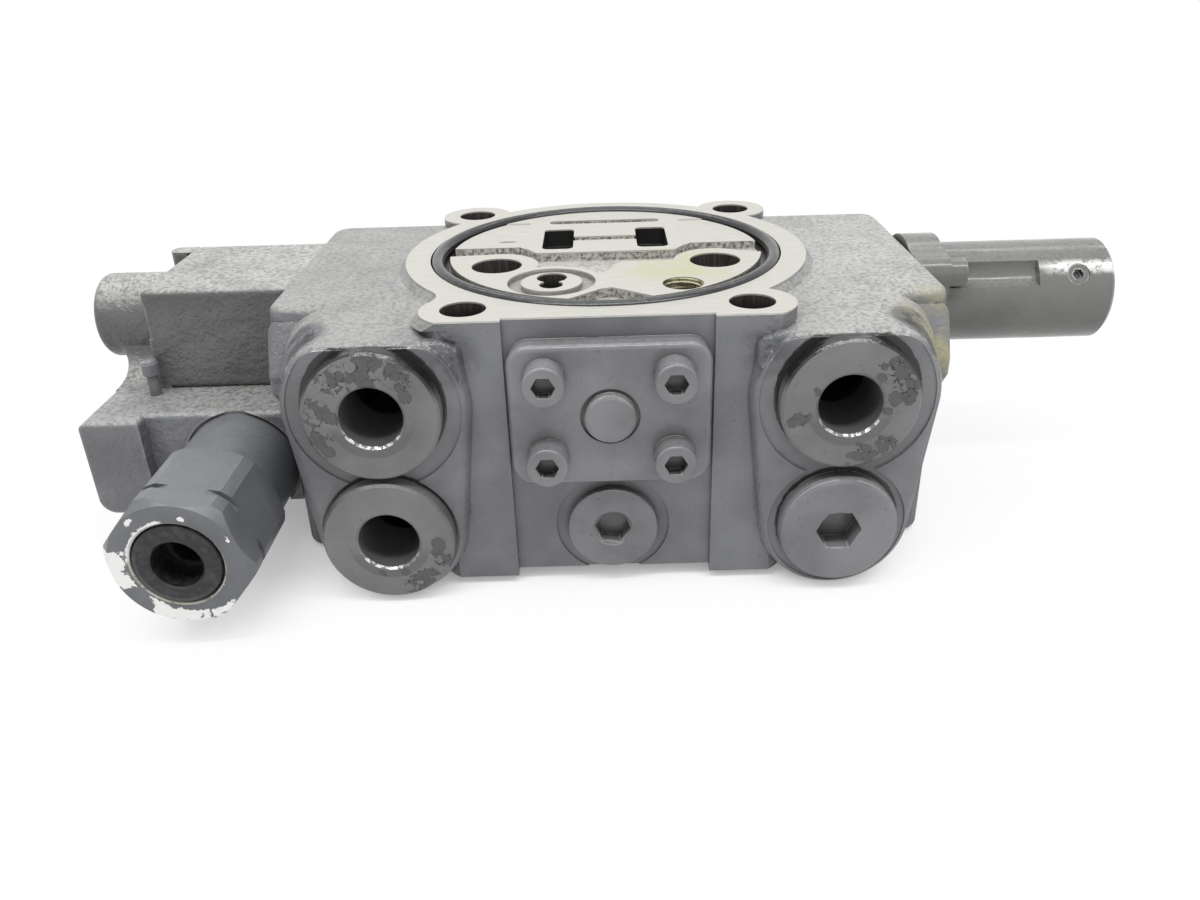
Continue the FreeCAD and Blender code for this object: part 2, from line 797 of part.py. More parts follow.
def make_cover_plate():
    plate = block(-plate_width / 2, plate_width / 2, -panel_y - plate_thickness, -panel_y,
                  check_z - plate_height / 2, check_z + plate_height / 2)
    plate = plate.makeFillet(plate_corner, parallel_edges(plate, Y))
    plate = plate.makeFillet(plate_edge, edges_in_plane(plate, Y, -panel_y - plate_thickness))
    face = Vector(0, -panel_y - plate_thickness, check_z)
    for offset in cover_screw_offsets():
        plate = plate.cut(cylinder(m10[0] / 2 + screw_play, face + offset - Y,
                                   face + offset + Y * (plate_thickness + overcut)))
    plate = plate.cut(cylinder(stud_shank_radius + thread_clearance, face - Y,
                               face + Y * (plate_thickness + overcut)))
    ditch = tube(stud_head_radius + stud_ditch_width, stud_head_radius, face - Y,
                 face + Y * stud_ditch_depth)
    return plate.cut(ditch).cut(cover_seal(cover_seal_cord + 0.1))


def make_cover_screws():
    seat = Vector(0, -panel_y - plate_thickness, check_z)
    screw = socket_screw(m10, seat, Y, plate_thickness + screw_hold)
    return spread(screw, cover_screw_offsets())


def make_cover_stud():
    """Round-headed stud through the plate; its tail guides the load check spring."""
    seat = Vector(0, -panel_y - plate_thickness, check_z)
    tail = plate_thickness + stud_reach
    edge = stud_head_height * 0.45
    profile = [
        (0, 0), (stud_head_height, 0), (stud_head_height, stud_head_radius - edge),
        (stud_head_height - edge * 0.3, stud_head_radius - edge * 0.3),
        (stud_head_height - edge, stud_head_radius), (0, stud_head_radius),
        (0, stud_shank_radius), (-tail + 1, stud_shank_radius), (-tail, stud_shank_radius - 1),
        (-tail, 0),
    ]
    return spun(profile, seat, FRONT)


def make_load_check_poppet():
    """Cup with a conical nose that rests on the edge of its seat."""
    nose = check_seat_radius * 0.7
    radius = check_bore_radius - spool_clearance
    seat = Vector(0, -check_seat_y - seat_clearance, check_z)
    rise = radius - check_seat_radius
    profile = [
        (-nose, check_seat_radius - nose), (rise, radius), (check_length, radius),
        (check_length, radius - check_wall), (rise + 2, radius - check_wall),
        (rise, radius - check_wall - 2), (rise, 0), (-nose, 0),
    ]
    return spun(profile, seat, FRONT)


def make_load_check_spring():
    rise = check_bore_radius - spool_clearance - check_seat_radius
    floor = Vector(0, -check_seat_y - seat_clearance - rise - seat_clearance, check_z)
    return coil_spring(check_spring_radius - check_spring_wire / 2, check_spring_wire, check_spring_turns,
                       floor,
                       Vector(0, -panel_y + seat_clearance, check_z))


def cast_housing():
    upper = block(-housing_left, -body_half_length, -housing_front, housing_back, housing_floor,
                  housing_top)
    rims = parallel_edges(upper, X) + edges_in_plane(upper, X, -housing_left)
    upper = upper.makeFillet(housing_edge, rims)
    lower = block(-lower_left, -body_half_length - overcut, -lower_front, lower_back, lower_bottom,
                  housing_floor)
    step = block(-lower_step_x, -body_half_length, -lower_front - overcut, -lower_front + lower_step,
                 lower_bottom - overcut, housing_floor + overcut)
    corners = []
    for edge in parallel_edges(lower, Y):
        if edge.BoundBox.XMax < -lower_left + 1 and edge.BoundBox.ZMin < housing_floor - 1:
            corners.append(edge)
    lower = lower.makeFillet(lower_corner, corners)
    lower = lower.cut(step)
    lower = lower.makeFillet(housing_edge, edges_in_plane(lower, Z, housing_floor))
    core = block(-housing_left + housing_edge, -body_half_length, -housing_front + housing_edge,
                 lower_back - housing_edge, housing_floor - 5, housing_floor + 5)
    axis = Vector(0, spool_y, spool_z)
    boss = cylinder(pilot_boss_radius, axis - X * (housing_left - 5), axis - X * pilot_boss_end)
    boss = boss.makeFillet(pilot_boss_edge, edges_in_plane(boss, X, -pilot_boss_end))
    neck = block(-neck_left, -housing_left + 5, -housing_front, lower_back, housing_floor - 2, spool_z)
    front_scoop = block(-neck_left, -housing_left, -housing_front, -housing_front + 2, housing_floor, 0)
    front_heel = Vector(-neck_left, -housing_front + 2, housing_floor + neck_front_scoop)
    front_scoop = front_scoop.fuse(cylinder(neck_front_scoop, front_heel,
                                            front_heel + X * (neck_left - housing_left)))
    front_scoop = front_scoop.fuse(block(-neck_left, -housing_left, -housing_front,
                                         -housing_front + 2 + neck_front_scoop,
                                         housing_floor + neck_front_scoop, 0))
    side_heel = Vector(-neck_left + neck_dip - neck_scoop, -housing_front, housing_floor + neck_scoop / 3)
    side_scoop = cylinder(neck_scoop, side_heel, side_heel + Y * (lower_back + housing_front))
    neck = neck.cut(front_scoop).cut(side_scoop)
    lug_high = Vector(-housing_left - lug_radius, lug_y, housing_top)
    lug = cylinder(lug_radius, lug_high, lug_high - Z * (housing_top - housing_floor) * 0.2)
    lug = lug.fuse(block(-housing_left - lug_radius, -housing_left + 2, lug_y - lug_radius,
                         lug_y + lug_radius,
                         housing_top - (housing_top - housing_floor) * 0.2, housing_top))
    housing = upper.fuse(lower)
    for piece in (core, boss, neck, lug):
        housing = housing.fuse(piece)
    return housing.removeSplitter()


def relief_front():
    """Point where the relief valve's axis meets the housing's front face."""
    return Vector(relief_x, -lower_front + lower_step, relief_z)


def make_actuator_housing():
    housing = cast_housing()
    axis = Vector(0, spool_y, spool_z)
    cuts = [cylinder(pilot_bore_radius, axis - X * (body_half_length - overcut), axis - X * pilot_bore_end)]
    cuts.append(cylinder(pilot_port_radius, axis - X * (pilot_bore_end - overcut),
                         axis - X * (pilot_boss_end + overcut)))
    front = relief_front()
    floor = front + Y * relief_recess_depth
    cuts.append(cylinder(relief_recess_radius, front - Y * (lower_step + overcut), floor))
    cuts.append(cylinder(relief_thread_radius + thread_clearance, front,
                         Vector(relief_x, -relief_inner_end + 3, relief_z)))
    gallery = Vector(relief_x, -relief_inner_end, relief_z)
    cuts.append(cylinder(relief_seat_radius, gallery, gallery + Y * relief_gallery))
    cuts.append(cylinder(relief_seat_radius, gallery + Y * relief_gallery,
                         Vector(relief_x, gallery.y + relief_gallery, spool_z)))
    for offset in housing_screw_offsets():
        seat = Vector(-housing_left, spool_y, spool_z) + offset
        cuts.append(cylinder(m10[0] / 2 + screw_play, seat - X,
                             Vector(-body_half_length + overcut, seat.y, seat.z)))
        cuts.append(cylinder(m10[1] / 2 + head_play, seat - X, seat + X * (m10[0] + overcut)))
    foot = Vector(bleed_x, bleed_y, housing_floor)
    cuts.append(cylinder(bleed_radius * 0.7 + thread_clearance, foot - Z * 9, foot + Z))
    housing_cut = cast_seal(cap_seal_cord + 0.1, -1)
    for cut in cuts + [housing_cut]:
        housing = housing.cut(cut)
    return housing.removeSplitter()


def cast_seal(cord, side):
    """Face seal between the body's end and what is bolted to it."""
    centre = Vector(side * (body_half_length + cap_seal_cord / 2), spool_y, spool_z)
    return ring(cap_seal_radius + cap_seal_cord / 2, cord, centre, X)


def make_housing_screws():
    seat = Vector(-housing_left + m10[0] + 1, spool_y, spool_z)
    grip = -body_half_length + screw_hold - seat.x
    return spread(socket_screw(m10, seat, X, grip, housing_key_turn), housing_screw_offsets())


def make_bleed_screw():
    foot = Vector(bleed_x, bleed_y, housing_floor)
    height = bleed_top - housing_floor
    neck = height - bleed_head_height
    profile = [
        (-8, 0), (-8, bleed_radius * 0.7), (0, bleed_radius * 0.7), (0, bleed_radius),
        (neck, bleed_radius), (neck + 1, bleed_head_radius), (height - 2, bleed_head_radius),
        (height - 0.6, bleed_head_radius * 0.8), (height, bleed_head_radius * 0.4), (height, 0),
    ]
    return spun(profile, foot, Z)


def make_relief_body():
    """Turned body with a screwed spigot, milled flats in front and an open mouth."""
    start = relief_front() + Y * relief_recess_depth
    seat = start.y
    thread = -relief_inner_end
    centre = Vector(relief_x, 0, relief_z)
    corner = relief_hex / math.sqrt(3)
    mouth = relief_mouth_radius + relief_mouth_chamfer
    seat_plane = relief_inner_end + relief_seat_wall
    profile = [
        (-thread, relief_seat_radius), (-thread, relief_thread_radius - thread_bevel),
        (-thread + thread_bevel, relief_thread_radius), (-seat, relief_thread_radius),
        (-seat, relief_shank_radius), (relief_shoulder, relief_shank_radius),
        (relief_shoulder + relief_cone, relief_body_radius),
        (relief_ditch_start, relief_body_radius), (relief_ditch_start, relief_ditch_radius),
        (relief_ditch_end, relief_ditch_radius), (relief_ditch_end, relief_body_radius),
        (relief_end - relief_chamfer_length, relief_body_radius),
        (relief_end, relief_body_radius - relief_chamfer), (relief_end, mouth),
        (relief_end - relief_mouth_chamfer, relief_mouth_radius),
        (relief_end - relief_mouth_depth, relief_mouth_radius),
        (relief_end - relief_mouth_depth, relief_bore_radius), (seat_plane, relief_bore_radius),
        (seat_plane, relief_seat_radius),
    ]
    body = spun(profile, centre, FRONT)
    bar_start = Vector(relief_x, -relief_shoulder, relief_z)
    bar_length = FRONT * (relief_end - relief_shoulder + overcut)
    bar = hex_prism(relief_hex, bar_start, bar_length, relief_hex_turn)
    body = body.cut(cylinder(corner + 2, bar_start, bar_start + bar_length).cut(bar))
    return body.cut(relief_seal(relief_seal_cord + 0.1))


def relief_seal(cord):
    centre = relief_front() + Y * (relief_recess_depth - relief_seal_cord / 2)
    return ring(relief_thread_radius + relief_seal_cord / 2 + 0.2, cord, centre, Y)


def make_relief_sleeve():
    """Screwed sleeve in the mouth of the relief valve: it loads the spring and lets the oil out."""
    centre = Vector(relief_x, 0, relief_z)
    inner = relief_end - relief_mouth_depth + seat_clearance
    outer = relief_end + sleeve_rise
    radius = relief_mouth_radius - thread_clearance
    profile = [
        (inner, sleeve_inner_radius), (inner, radius), (outer - sleeve_edge, radius),
        (outer - sleeve_edge * 0.3, radius - sleeve_edge * 0.3), (outer, radius - sleeve_edge),
        (outer, sleeve_bore_radius + 0.8), (outer - 0.8, sleeve_bore_radius),
        (outer - sleeve_step, sleeve_bore_radius), (outer - sleeve_step, sleeve_inner_radius),
    ]
    return spun(profile, centre, FRONT)


def make_relief_poppet():
    """Cup with a conical nose on the relief seat and two cross holes."""
    centre = Vector(relief_x, 0, relief_z)
    seat_plane = relief_inner_end + relief_seat_wall + seat_clearance
    radius = relief_bore_radius - spool_clearance
    rise = radius - relief_seat_radius
    floor = seat_plane + rise + relief_poppet_floor
    nose = relief_seat_radius * 0.6
    wall = relief_poppet_wall
    end = seat_plane + relief_poppet_length
    profile = [
        (seat_plane - nose, 0), (seat_plane - nose, relief_seat_radius - nose),
        (seat_plane + rise, radius), (end, radius), (end, radius - wall), (floor, radius - wall),
        (floor, 0),
    ]
    poppet = spun(profile, centre, FRONT)
    cross = Vector(relief_x, -(seat_plane + rise + relief_cross_place), relief_z)
    return poppet.cut(cylinder(relief_cross_radius, cross - Z * relief_bore_radius,
                               cross + Z * relief_bore_radius))


def make_relief_spring():
    seat_plane = relief_inner_end + relief_seat_wall + seat_clearance
    rise = relief_bore_radius - spool_clearance - relief_seat_radius
    start = Vector(relief_x, -(seat_plane + rise + relief_poppet_floor + seat_clearance), relief_z)
    end = Vector(relief_x, -(relief_end - relief_mouth_depth), relief_z)
    radius = relief_bore_radius - spool_clearance - relief_poppet_wall - seat_gap - relief_spring_wire / 2
    return coil_spring(radius, relief_spring_wire, relief_spring_turns, start, end)


def make_spring_cap():
    """Flange and long round cap, with milled grooves that let a key reach the screws."""
    axis = Vector(0, spool_y, spool_z)
    face = body_half_length
    back = face + cap_flange_thickness
    flange = eared_disc(cap_flange_radius, cap_screw_offsets(), cap_pad_radius, cap_pad_blend, X)
    flange = flange.extrude(X * cap_flange_thickness)
    flange.translate(Vector(face, spool_y, spool_z))
    barrel = spun([(face, 0), (face, cap_radius), (cap_end - cap_edge, cap_radius),
                   (cap_end, cap_radius - cap_edge),
                   (cap_end, 0)], axis, X)
    collar = spun([(back - overcut, 0), (back - overcut, cap_radius + cap_fillet),
                   (back, cap_radius + cap_fillet),
                   (back + cap_fillet, cap_radius), (back + cap_fillet, 0)], axis, X)
    cap = flange.fuse(barrel).fuse(collar)
    for offset in cap_screw_offsets():
        place = axis + offset
        cap = cap.cut(cylinder(m8[0] / 2 + screw_play, place + X * (face - overcut),
                               place + X * (back + overcut)))
        cap = cap.cut(cylinder(tool_groove_radius, place + X * back, place + X * tool_groove_end))
    cap = cap.cut(cylinder(cap_bore_radius, axis + X * (face - overcut), axis + X * (cap_end - cap_wall)))
    cap = cap.cut(set_screw_bar(set_screw_radius + thread_clearance, cap_bore_radius - 2, cap_radius + 2))
    return cap.cut(cast_seal(cap_seal_cord + 0.1, 1)).removeSplitter()


def set_screw_bar(radius, inner, outer):
    angle = math.radians(set_screw_angle)
    out = Vector(0, -math.cos(angle), math.sin(angle))
    centre = Vector(set_screw_x, spool_y, spool_z)
    return cylinder(radius, centre + out * inner, centre + out * outer)


def make_cap_set_screw():
    screw = set_screw_bar(set_screw_radius, cap_bore_radius + 0.3, cap_radius - set_screw_setback)
    centre = Vector(set_screw_x, spool_y, spool_z)
    angle = math.radians(set_screw_angle)
    out = Vector(0, -math.cos(angle), math.sin(angle))
    mouth = centre + out * (cap_radius - set_screw_setback)
    return screw.cut(hex_prism(set_screw_radius * 0.9, mouth, -out * 2.5, 0))


def make_cap_screws():
    seat = Vector(body_half_length + cap_flange_thickness, spool_y, spool_z)
    screw = socket_screw(m8, seat, -X, cap_flange_thickness + screw_hold)
    return spread(screw, cap_screw_offsets())


def make_main_spool():
    """Spool with four necks, metering notches at the edges and a stem to the pilot piston."""
    axis = Vector(0, spool_y, spool_z)
    left = -body_half_length
    right = body_half_length + seat_gap
    stem_end = -(pilot_bore_end - pilot_stub_length - pilot_piston_length)
    profile = [(stem_end, 0), (stem_end, spool_neck_radius), (left, spool_neck_radius),
               (left + 1, spool_radius)]
    for place in spool_necks:
        low = place - spool_neck_width / 2
        high = place + spool_neck_width / 2
        profile += [(low, spool_radius), (low + 2, spool_neck_radius), (high - 2, spool_neck_radius),
                    (high, spool_radius)]
    profile += [(right, spool_radius), (right, 0)]
    spool = spun(profile, axis, X)
    for place in spool_necks:
        for edge in (place - spool_neck_width / 2, place + spool_neck_width / 2):
            for step in range(notch_count):
                angle = math.radians(360 / notch_count * step + 45)
                rim = Vector(edge, spool_y + spool_radius * math.cos(angle),
                             spool_z + spool_radius * math.sin(angle))
                spool = spool.cut(Part.makeSphere(notch_radius, rim))
    tail = axis + X * right
    return spool.cut(cylinder(m8[0] / 2 + thread_clearance, tail + X, tail - X * (screw_hold + overcut)))


def make_pilot_piston():
    axis = Vector(0, spool_y, spool_z)
    stop = -pilot_bore_end + seat_clearance
    face = -pilot_bore_end + pilot_stub_length
    end = face + pilot_piston_length - seat_clearance
    radius = pilot_bore_radius - spool_clearance
    profile = [(stop, 0), (stop, pilot_stub_radius), (face, pilot_stub_radius), (face, radius - 1),
               (face + 1, radius)]
    middle = (face + end) / 2
    profile += [(middle - 1.5, radius), (middle - 1.5, radius - 1.5), (middle + 1.5, radius - 1.5),
                (middle + 1.5, radius)]
    profile += [(end, radius), (end, 0)]
    return spun(profile, axis, X)


def spool_end():
    """Point on the spool's axis where its right end face is."""
    return Vector(body_half_length + seat_gap, spool_y, spool_z)


def make_inner_spring_seat():
    profile = [
        (0, m8[0] / 2 + screw_play), (0, seat_radius), (seat_thickness, seat_radius),
        (seat_thickness, m8[0] / 2 + screw_play),
    ]
    return spun(profile, spool_end(), X)


def make_outer_spring_seat():
    floor = cap_end - cap_wall
    start = Vector(floor - seat_thickness, spool_y, spool_z)
    return tube(cap_bore_radius - 0.2, m8[0] / 2, start, start + X * (seat_thickness - seat_clearance))


def make_spool_bolt():
    return socket_screw(m8, spool_end() + X * seat_thickness, -X, seat_thickness + screw_hold)


def make_return_spring():
    start = spool_end() + X * (seat_thickness + seat_clearance)
    end = Vector(cap_end - cap_wall - seat_thickness - seat_clearance, spool_y, spool_z)
    return coil_spring(return_spring_radius - return_spring_wire / 2, return_spring_wire,
                       return_spring_turns, start, end)


pieces = {
    "valve_body": make_valve_body(),
    "flange_o_ring": make_flange_o_ring(),
    "orifice_plug": make_orifice_plug(),
    "upper_left_port": port_bush(-1, upper_port_z),
    "lower_left_port": port_bush(-1, lower_port_z),
    "upper_right_port": port_bush(1, upper_port_z),
    "port_o_rings": make_port_o_rings(),
    "lower_right_plug": make_lower_right_plug(),
    "plug_o_ring": port_seal(1, lower_port_z, port_seal_cord),
    "cover_plate": make_cover_plate(),
    "cover_screws": make_cover_screws(),
    "cover_stud": make_cover_stud(),
    "cover_o_ring": cover_seal(cover_seal_cord),
    "load_check_poppet": make_load_check_poppet(),
    "load_check_spring": make_load_check_spring(),
    "centre_plug": make_centre_plug(),
    "centre_plug_o_ring": centre_seal(centre_seal_cord),
    "actuator_housing": make_actuator_housing(),
    "housing_o_ring": cast_seal(cap_seal_cord, -1),
    "housing_screws": make_housing_screws(),
    "bleed_screw": make_bleed_screw(),
    "pilot_piston": make_pilot_piston(),
    "relief_body": make_relief_body(),
    "relief_o_ring": relief_seal(relief_seal_cord),
    "relief_sleeve": make_relief_sleeve(),
    "relief_poppet": make_relief_poppet(),
    "relief_spring": make_relief_spring(),
    "spring_cap": make_spring_cap(),
    "cap_o_ring": cast_seal(cap_seal_cord, 1),
    "cap_screws": make_cap_screws(),
    "cap_set_screw": make_cap_set_screw(),
    "main_spool": make_main_spool(),
    "spool_bolt": make_spool_bolt(),
    "inner_spring_seat": make_inner_spring_seat(),
    "outer_spring_seat": make_outer_spring_seat(),
    "return_spring": make_return_spring(),
}

os.makedirs("parts", exist_ok=True)
for name, shape in pieces.items():
    if not shape.isValid():
        print("not valid:", name)
    shape.exportStep(f"parts/{name}.step")
    print(name, len(shape.Solids), round(shape.Volume, 1))
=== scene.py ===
import math

import bpy
import bmesh
from mathutils import Matrix, Vector


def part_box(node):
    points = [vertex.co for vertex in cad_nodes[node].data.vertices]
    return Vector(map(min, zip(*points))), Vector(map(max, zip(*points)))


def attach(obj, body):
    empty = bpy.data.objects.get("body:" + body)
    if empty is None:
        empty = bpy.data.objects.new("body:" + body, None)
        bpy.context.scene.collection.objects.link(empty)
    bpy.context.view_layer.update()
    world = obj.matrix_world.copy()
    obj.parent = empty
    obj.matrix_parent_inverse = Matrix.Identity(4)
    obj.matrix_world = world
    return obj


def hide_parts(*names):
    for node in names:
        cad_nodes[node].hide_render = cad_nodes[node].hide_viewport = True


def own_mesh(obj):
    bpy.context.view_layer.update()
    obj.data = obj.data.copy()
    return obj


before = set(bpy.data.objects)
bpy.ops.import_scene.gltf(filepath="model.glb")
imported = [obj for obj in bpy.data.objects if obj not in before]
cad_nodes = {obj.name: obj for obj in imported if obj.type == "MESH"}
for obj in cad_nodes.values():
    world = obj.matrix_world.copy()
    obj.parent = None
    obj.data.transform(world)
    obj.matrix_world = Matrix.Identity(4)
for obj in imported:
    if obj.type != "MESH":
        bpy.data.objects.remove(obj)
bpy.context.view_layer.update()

# The viewer stands in front of the hose ports and looks down on the round flange.
# Place, aim and focal length are those of the photograph, for an image 1200 pixels wide.
mm = 0.001
image_width = 1200
focal_pixels = 983.1
sensor = 36.0
nearest = 0.01
farthest = 60.0
eye = Vector((-1.64, -435.9, 123.3)) * mm
yaw, pitch, roll = (math.radians(angle) for angle in (-0.46, 27.32, -1.76))
ahead = Vector((math.sin(yaw) * math.cos(pitch), math.cos(yaw) * math.cos(pitch), -math.sin(pitch)))
level = Vector((math.cos(yaw), -math.sin(yaw), 0))
above = level.cross(ahead)
right = level * math.cos(roll) + above * math.sin(roll)
up = above * math.cos(roll) - level * math.sin(roll)
lens = bpy.data.cameras.new("viewer")
lens.sensor_width = sensor
lens.lens = focal_pixels / image_width * sensor
lens.clip_start = nearest
lens.clip_end = farthest
viewer = bpy.data.objects.new("viewer", lens)
viewer.matrix_world = Matrix.Translation(eye) @ Matrix((right, up, -ahead)).transposed().to_4x4()
bpy.context.scene.collection.objects.link(viewer)
bpy.context.scene.camera = viewer

# The valve stands on a wide white table, in a white room.
# One large soft lamp hangs over it between two long ceiling tubes, and a weak lamp stands in front.
# The table is matt and takes the soft shadow of the valve, darkest where the valve shelters it.
table_height = -117.1 * mm
table_radius = 14.0
table_sides = 96
table_white = (0.93, 0.93, 0.93, 1)
pure_white = (1, 1, 1, 1)
table_glow = 0.86
glow_near, glow_far = 0.3, 1.2
contact_reach = 0.045
deep_shelter, open_table = 0.10, 0.55
darkest_share = 0.25
room_light = 0.42
lamps = {
    "overhead_lamp": {"at": (-0.25, 0.10, 1.50), "wide": 1.5, "deep": 1.5, "watts": 9.8},
    "ceiling_tube": {"at": (0.05, -0.50, 1.15), "wide": 2.0, "deep": 0.15, "watts": 13.0},
    "rear_tube": {"at": (0.00, 0.85, 1.15), "wide": 2.0, "deep": 0.10, "watts": 3.6},
    "front_lamp": {"at": (0.35, -1.70, 0.75), "wide": 0.9, "deep": 0.9, "watts": 2.4},
}


def node(tree, kind, feeds=None, out=0, **settings):
    """Adds a node, sets it, feeds its sockets and returns the output that others use."""
    new = tree.nodes.new("ShaderNode" + kind)
    for key, value in settings.items():
        setattr(new, key, value)
    for key, value in (feeds or {}).items():
        if isinstance(value, bpy.types.NodeSocket):
            tree.links.new(value, new.inputs[key])
        else:
            new.inputs[key].default_value = value
    return new.outputs[out]


def finish_tree(tree, kind, surface):
    """Joins the surface to the material's or the room's output, which has no outputs of its own."""
    node(tree, kind, {"Surface": surface}, out=slice(0, 0))


def calc(tree, operation, first, second=0.0, third=0.0):
    return node(tree, "Math", {0: first, 1: second, 2: third}, operation=operation)


def overlap(tree, first, *others):
    """1 where all masks are 1: their product."""
    for other in others:
        first = calc(tree, "MULTIPLY", first, other)
    return first


def either(tree, first, *others):
    """1 where any mask is 1: the largest of them."""
    for other in others:
        first = calc(tree, "MAXIMUM", first, other)
    return first


def seen_direct(tree):
    """1 for what the camera sees, straight or in a mirror or through glass."""
    kinds = ("Camera", "Glossy", "Transmission")
    return either(tree, *(node(tree, "LightPath", out=f"Is {kind} Ray") for kind in kinds))


def new_material(name):
    """A material with an empty node tree, and that tree."""
    material = bpy.data.materials.new(name)
    material.use_nodes = True
    material.node_tree.nodes.clear()
    return material, material.node_tree


def link_object(name, data):
    thing = bpy.data.objects.new(name, data)
    bpy.context.scene.collection.objects.link(thing)
    return thing


def place_of(tree):
    """Where a point of the surface lies, in metres."""
    return node(tree, "TexCoord", out="Object")


def length_of(tree, vector):
    return node(tree, "VectorMath", {0: vector}, out=1, operation="LENGTH")


def shelter(tree, reach, samples):
    """0 in corners and under edges, 1 on open faces."""
    return node(tree, "AmbientOcclusion", {"Distance": reach}, out="AO", samples=samples)


def make_table():
    form = bmesh.new()
    bmesh.ops.create_circle(form, cap_ends=True, segments=table_sides, radius=table_radius)
    mesh = bpy.data.meshes.new("table")
    form.to_mesh(mesh)
    form.free()
    table = link_object("table", mesh)
    table.location.z = table_height
    material, tree = new_material("table_white")
    away = length_of(tree, place_of(tree))
    glow_share = node(tree, "MapRange", {0: away, 1: glow_near, 2: glow_far, 3: table_glow, 4: 1.0})
    openness = shelter(tree, contact_reach, 6)
    shadow = {0: openness, 1: deep_shelter, 2: open_table, 3: darkest_share, 4: 1.0}
    open_share = node(tree, "MapRange", shadow)
    lit = node(tree, "BsdfDiffuse", {"Color": table_white})
    glow = node(tree, "Emission", {"Color": pure_white, "Strength": 1.0})
    share = overlap(tree, seen_direct(tree), glow_share, open_share)
    finish_tree(tree, "OutputMaterial", node(tree, "MixShader", {0: share, 1: lit, 2: glow}))
    mesh.materials.append(material)


def light_room():
    world = bpy.data.worlds.new("white_room")
    world.use_nodes = True
    bpy.context.scene.world = world
    tree = world.node_tree
    tree.nodes.clear()
    strength = calc(tree, "MULTIPLY_ADD", seen_direct(tree), 1 - room_light, room_light)
    finish_tree(tree, "OutputWorld", node(tree, "Background", {"Color": pure_white, "Strength": strength}))
    for name, lamp in lamps.items():
        light = bpy.data.lights.new(name, "AREA")
        light.shape = "RECTANGLE"
        light.size = lamp["wide"]
        light.size_y = lamp["deep"]
        light.energy = lamp["watts"]
        thing = link_object(name, light)
        thing.location = lamp["at"]
        thing.rotation_euler = (-thing.location).to_track_quat("-Z", "Y").to_euler()


make_table()
light_room()

# The valve body is one iron casting under satin grey paint. Its round flange face is milled bright,
# with rough cast pockets between the lands, and the bolt and oil holes are drilled after painting.
# Dust lies on its top, oil has run over one land, dark crescents round the ports are partly oil and partly
# painted shade, and painted shade darkens its corners and deep holes.
soft_edge = 0.2 * mm
# each limit of a mask lies a little past the edge or floor that it stands for
milled_depth = 0.6 * mm
face_cut_limit = 8.0 * mm
groove_outside = 78.3 * mm
land_outside = 69.4 * mm
pocket_limit = 6.0 * mm
pocket_wall = (-3.9 * mm, -3.6 * mm)
front_bolts = (55.4 * mm, -76.8 * mm, 0)
back_bolts = (64.8 * mm, 69.0 * mm, 0)
bolt_wall = 9.15 * mm
oil_holes = (47.2 * mm, -21.0 * mm, 0)
oil_hole_wall = 11.2 * mm
ring_seat = (-22.6 * mm, -45.5 * mm, 0)
ring_seat_wall = 18.4 * mm
twin_hole_reach = 11.9 * mm
window_centre = (21.7 * mm, 19.6 * mm)
window_reach = (7.7 * mm, 17.7 * mm)
thin_slot = (-45.4 * mm, 18.5 * mm, 0)
thin_slot_half = 0.7 * mm
core_half = 135.5 * mm
core_front, core_back = -56.0 * mm, 44.0 * mm
core_floor, core_roof = -113.0 * mm, -9.0 * mm
port_across = 90.0 * mm
upper_height = -33.0 * mm
lower_height = -87.8 * mm
passage_reach = 24.0 * mm
passage_front = -93.0 * mm
boss_front = -95.4 * mm
panel_reach = 55.0 * mm
# arcs of the dark crescents above the ports: partly oil, partly painted shade of the gap above each bush
upper_oil_shade = {"raised": 1.7 * mm, "reach": 28.3 * mm}
lower_oil_shade = {"raised": 1.2 * mm, "left": 26.7 * mm, "right": 24.5 * mm}
oil_shade_depth = -94.8 * mm
shoulder_hollow = (119.0 * mm, -82.0 * mm, -10.0 * mm)
hollow_reach = 17 * mm
hollow_depth = 6.0 * mm
ear_hollow = (59.0 * mm, -94.0 * mm, -13.0 * mm)
upper_stain = (134 * mm, -72 * mm, -18 * mm)
lower_stain = (128 * mm, -74 * mm, -86 * mm)
oiled_spot = (30 * mm, -29 * mm, 0)
grey_paint = (0.165, 0.168, 0.178, 1)
dusty_paint = (0.345, 0.345, 0.325, 1)
pale_dust = (0.455, 0.455, 0.430, 1)
# wet paint of the hollows, darkened further as painted shade
wet_and_shaded_paint = (0.070, 0.072, 0.078, 1)
# dark grime, also used as painted shade in sheltered places
grime_and_shade = (0.055, 0.052, 0.045, 1)
olive_stain = (0.32, 0.30, 0.19, 1)
milled_iron = (0.555, 0.545, 0.50, 1)
feed_mark = (0.30, 0.29, 0.27, 1)
oiled_land = (0.475, 0.48, 0.33, 1)
cast_pocket = (0.50, 0.48, 0.45, 1)
# drilled iron, darkened as painted shade inside the holes
drilled_iron_in_shade = (0.070, 0.064, 0.058, 1)
drill_streak = (0.16, 0.152, 0.140, 1)
deep_shade = (0.018, 0.017, 0.016, 1)


def split_up(tree, vector):
    """The x, y and z of a place or direction."""
    return node(tree, "SeparateXYZ", {0: vector}).node.outputs[:]


def joined(tree, x, y, z):
    return node(tree, "CombineXYZ", {0: x, 1: y, 2: z})


def stretched(tree, where, scales):
    """Places multiplied along x, y and z, for grain that runs one way."""
    return node(tree, "Mapping", {0: where, 3: scales})


def difference(tree, first, second):
    return calc(tree, "SUBTRACT", first, second)


def apart(tree, first, second):
    return calc(tree, "ABSOLUTE", difference(tree, first, second))


def without(tree, mask):
    return difference(tree, 1.0, mask)


